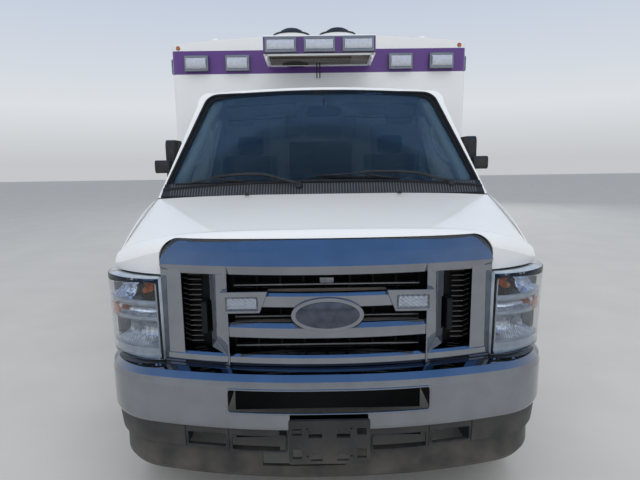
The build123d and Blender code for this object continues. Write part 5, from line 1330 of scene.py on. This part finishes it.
# Seams as the axis they are set along, the share of the half length, and the side they lie on
BASE_SEAMS = ((1, 0.45, 1), (1, -0.10, 1), (1, -0.62, 1))
BACK_SEAMS = ((2, 0.55, -1), (2, 0.10, -1), (2, -0.40, -1))
POST = ((0.0, 0.0), (0.0, 0.006), (0.060, 0.006), (0.060, 0.0))
for name, side in SIDES:
    x = side * 0.560
    base, back, head = (x, aft(1.860), 1.0225), (x, aft(2.1425), 1.3600), (x, aft(2.1875), 1.7250)
    cushion(f"seat_base_{name}", (0.450, 0.480, 0.135), base, seat_cloth, "seats", seams=BASE_SEAMS)
    cushion(f"seat_back_{name}", (0.430, 0.100, 0.585), back, seat_cloth, "seats", LEAN, seams=BACK_SEAMS)
    cushion(f"seat_head_{name}", (0.200, 0.075, 0.150), head, seat_cloth, "seats", LEAN, voxel=0.007, cap=0.016)
    pedestal = Piece(f"seat_pedestal_{name}").box((side * 0.402, side * 0.718), (1.722, 2.038), (0.740, 0.955))
    pedestal_made = pedestal.finish(trim_grey, bevel=0.014, segments=3)
    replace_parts(pedestal_made, "seats")
    posts = Piece(f"seat_head_posts_{name}")
    for offset in (-0.055, 0.055):
        posts.lathe(POST, (x + offset, aft(2.180), 1.615), (0, math.sin(LEAN), math.cos(LEAN)), 14)
    posts.finish(chrome)
    hinge = Piece(f"seat_hinge_{name}")
    for offset in (-0.232, 0.222):
        hinge.plaque((0.110, 0.120, 0.045), (aft(2.075), 1.075), 0.010, sideways(x + offset))
    hinge.finish(trim_grey, bevel=0.003)
    belt = ((side * 0.800, 2.255, 1.640), (side * 0.795, 2.262, 1.30), (side * 0.792, 2.262, 0.86))
    strap = [[(across, aft(d) + edge, z) for across, d, z in belt] for edge in (-0.023, 0.023)]
    Piece(f"seat_belt_{name}").surface(strap).finish(deep_black, thick=0.0018)

for number, distance in enumerate((3.80, 4.46, 5.12), 1):
    centre = (-0.870, aft(distance), 1.245)
    cushion(
        f"bench_cushion_{number}", (0.440, 0.640, 0.090), centre, vinyl, "bench_cushions", seams=((1, 0.0, 1),)
    )
cushion(
    "bench_back_pad", (0.056, 1.960, 0.470), (-1.128, aft(4.460), 1.565), vinyl, "bench_cushions",
    voxel=0.016, cap=0.022, seams=((1, 0.333, 1), (1, -0.333, 1)),
)
cushion(
    "doorway_pad", (0.600, 0.040, 0.130), (0.0, aft(2.440), 1.895), vinyl, "bench_cushions", voxel=0.008, cap=0.012
)

# Inside the cab and the box body

for name, side in SIDES:
    vents = Piece(f"dash_vents_{name}")
    for across in (0.40, 0.80):
        for height in [1.325 + 0.012 * k for k in range(5)]:
            vents.box(around(side * across, 0.045), (1.388, 1.399), (height, height + 0.004))
    vents.finish(black_plastic)
    card = Piece(f"door_card_{name}")
    card.plaque((0.780, 0.560, 0.060), (side * aft(1.800), 1.020), -0.010, sideways(side * 0.955, side))
    card.finish(trim_grey, f"cab_door_{name}", bevel=0.005)
    rest = Piece(f"door_rest_{name}")
    rest.plaque((0.380, 0.060, 0.024), (side * aft(1.880), 1.130), -0.045, sideways(side * 0.945, side))
    rest.finish(trim_grey, f"cab_door_{name}", bevel=0.010, segments=3)
cluster = Piece("dash_cluster").plaque((0.360, 0.090, 0.040), (0.540, 1.420), 0.018, facing(1.335))
cluster.finish(black_plastic, bevel=0.005)
pedals = Piece("pedals").plaque((0.120, 0.060, 0.012), (0.520, 0.900), 0.008, facing(1.290))
pedals.plaque((0.055, 0.150, 0.012), (0.690, 0.880), 0.008, facing(1.300)).finish(rubber, bevel=0.003)

CEILING = 2.4895
lights, light_frames = Piece("ceiling_lights"), Piece("ceiling_light_frames")
for side in (-1, 1):
    for distance in (2.95, 3.75, 4.55, 5.35, 6.15):
        centre = (side * 0.44, aft(distance))
        lights.plaque((0.150, 0.300, 0.060), centre, -0.016, level(CEILING))
        light_frames.ring((0.180, 0.330, 0.070), (0.146, 0.296, 0.058), centre, -0.010, level(CEILING))
lights.finish(lamp_white, bevel=0.006, segments=3)
light_frames.finish(edge_grey, bevel=0.002)
RAIL_X = 0.10
rail = ((2.90, 2.489), (2.90, 2.430), (3.00, 2.420), (6.00, 2.420), (6.10, 2.430), (6.10, 2.489))
tube("ceiling_grab_rail", [(RAIL_X, aft(d), z) for d, z in rail], 0.016, chrome)
stays = Piece("ceiling_rail_stays")
for distance in (2.90, 4.50, 6.10):
    socket = [(0.0, 0.0), (0.0, 0.034), (0.006, 0.030), (0.010, 0.0)]
    stays.lathe(socket, (RAIL_X, aft(distance), CEILING), (0, 0, -1), 24)
stays.lathe([(0.0, 0.0), (0.0, 0.010), (0.060, 0.010), (0.060, 0.0)], (RAIL_X, aft(4.50), 2.424), UP, 16)
stays.finish(chrome)

fronts, pulls = Piece("cabinet_fronts"), Piece("cabinet_pulls")
FACE = 0.716
FOUR, TWO = (3.20, 3.745, 4.29, 4.835), (4.35, 4.865)
# Low, high, width and places aft of each row of cabinet fronts
for low, high, wide, starts in ((1.50, 1.96, 0.525, FOUR), (1.98, 2.44, 0.525, FOUR), (0.92, 1.46, 0.495, TWO)):
    for start in starts:
        y = aft(start + wide / 2 + 0.003)
        fronts.plaque((wide, high - low, 0.012), (y, (low + high) / 2), -0.010, sideways(FACE))
        pulls.plaque((0.110, 0.016, 0.007), (y, low + 0.050), -0.022, sideways(FACE - 0.008))
fronts.finish(cabinet_cream, bevel=0.003)
pulls.finish(steel, bevel=0.003)
lids = Piece("bench_lids")
for start in (3.47, 4.13, 4.79):
    lids.plaque((0.630, 0.330, 0.014), (aft(start + 0.33), 1.010), 0.008, sideways(-0.6400))
lids.finish(cabinet_cream, bevel=0.003)
cot = Piece("cot_track").box((-0.022, 0.022), (4.40, 6.36), (0.8045, 0.8110))
for distance in (4.50, 6.20):
    cot.plaque((0.180, 0.120, 0.030), (0.0, aft(distance)), 0.012, level(0.8045))
cot.finish(steel, bevel=0.002)

# Floor, light and camera


def ground():
    """The plain pale floor."""
    data = bpy.data.meshes.new("floor")
    half = 40.0
    data.from_pydata([(-half, -half, 0), (half, -half, 0), (half, half, 0), (-half, half, 0)], [], [(0, 1, 2, 3)])
    finish = Finish("pale_floor", linear(190, 189, 186), 0.75).mottle(1.5, linear(200, 199, 196), 0.5)
    made = placed("floor", data, finish.plain())


def sky():
    """One pale sky, blue higher up, for what is seen, shines or is seen through, and even light."""
    world = bpy.data.worlds.new("sky")
    bpy.context.scene.world = world
    world.use_nodes = True
    tree = world.node_tree
    background = tree.nodes["Background"]
    path = tree.nodes.new("ShaderNodeLightPath")
    height = add_node(tree, "SeparateXYZ", "Z", Vector=add_node(tree, "TexCoord", "Generated"))
    tones = add_node(tree, "ValToRGB", "Color", Fac=height)
    ramp = tones.node.color_ramp
    ramp.elements[0].color = linear(206, 208, 211)
    ramp.elements[1].color = linear(112, 158, 220)
    ramp.elements[1].position = 0.75
    ramp.elements.new(0.10).color = linear(230, 234, 238)
    seen = path.outputs["Is Camera Ray"]
    for kind in ("Is Glossy Ray", "Is Transmission Ray"):
        seen = add_math(tree, "MAXIMUM", seen, path.outputs[kind])
    even = linear(222, 225, 230)
    feed(tree, background.inputs["Color"], add_node(tree, "Mix", "Result", MIX_COLOURS, A=even, B=tones, Factor=seen))
    background.inputs["Strength"].default_value = 0.9


LAMPS = (
    # name, place, aim, size, watts
    ("key", (4.5, -9.0, 8.0), (0, -1.5, 1.2), 12.0, 400.0),
    ("fill", (-7.0, -7.0, 5.0), (0, -1.5, 1.0), 8.0, 150.0),
    ("top", (0.0, -2.6, 10.0), (0, -2.5, 1.0), 8.0, 165.0),
    ("rear", (3.0, 10.0, 6.5), (0, 2.0, 1.2), 10.0, 300.0),
)


def lamps():
    """Large soft lamps round the vehicle."""
    for name, place, aim, size, watts in LAMPS:
        data = bpy.data.lights.new(name, "AREA")
        data.size = size
        data.energy = watts
        made = placed(name, data)
        made.visible_camera = made.visible_glossy = False
        made.location = place
        made.rotation_euler = (Vector(aim) - Vector(place)).to_track_quat("-Z", "Y").to_euler()


EYE = Vector((-0.038, -5.27, 1.61))
FOCUS_PIXELS, FRAME_PIXELS = 485.0, 640.0
YAW, PITCH, ROLL = math.radians(0.34), math.radians(9.37), math.radians(0.80)


def camera():
    """The camera where the photograph was taken from."""
    ahead = Vector((math.sin(YAW) * math.cos(PITCH), math.cos(YAW) * math.cos(PITCH), -math.sin(PITCH)))
    across = Vector((math.cos(YAW), -math.sin(YAW), 0))
    upright = across.cross(ahead)
    right = across * math.cos(ROLL) - upright * math.sin(ROLL)
    up = upright * math.cos(ROLL) + across * math.sin(ROLL)
    data = bpy.data.cameras.new("camera")
    data.sensor_width = 36.0
    data.lens = FOCUS_PIXELS / FRAME_PIXELS * data.sensor_width
    made = placed("camera", data)
    made.matrix_world = Matrix.Translation(EYE) @ Matrix((right, up, -ahead)).transposed().to_4x4()
    bpy.context.scene.camera = made


ground()
sky()
lamps()
camera()
bpy.context.scene.view_settings.view_transform = "Standard"
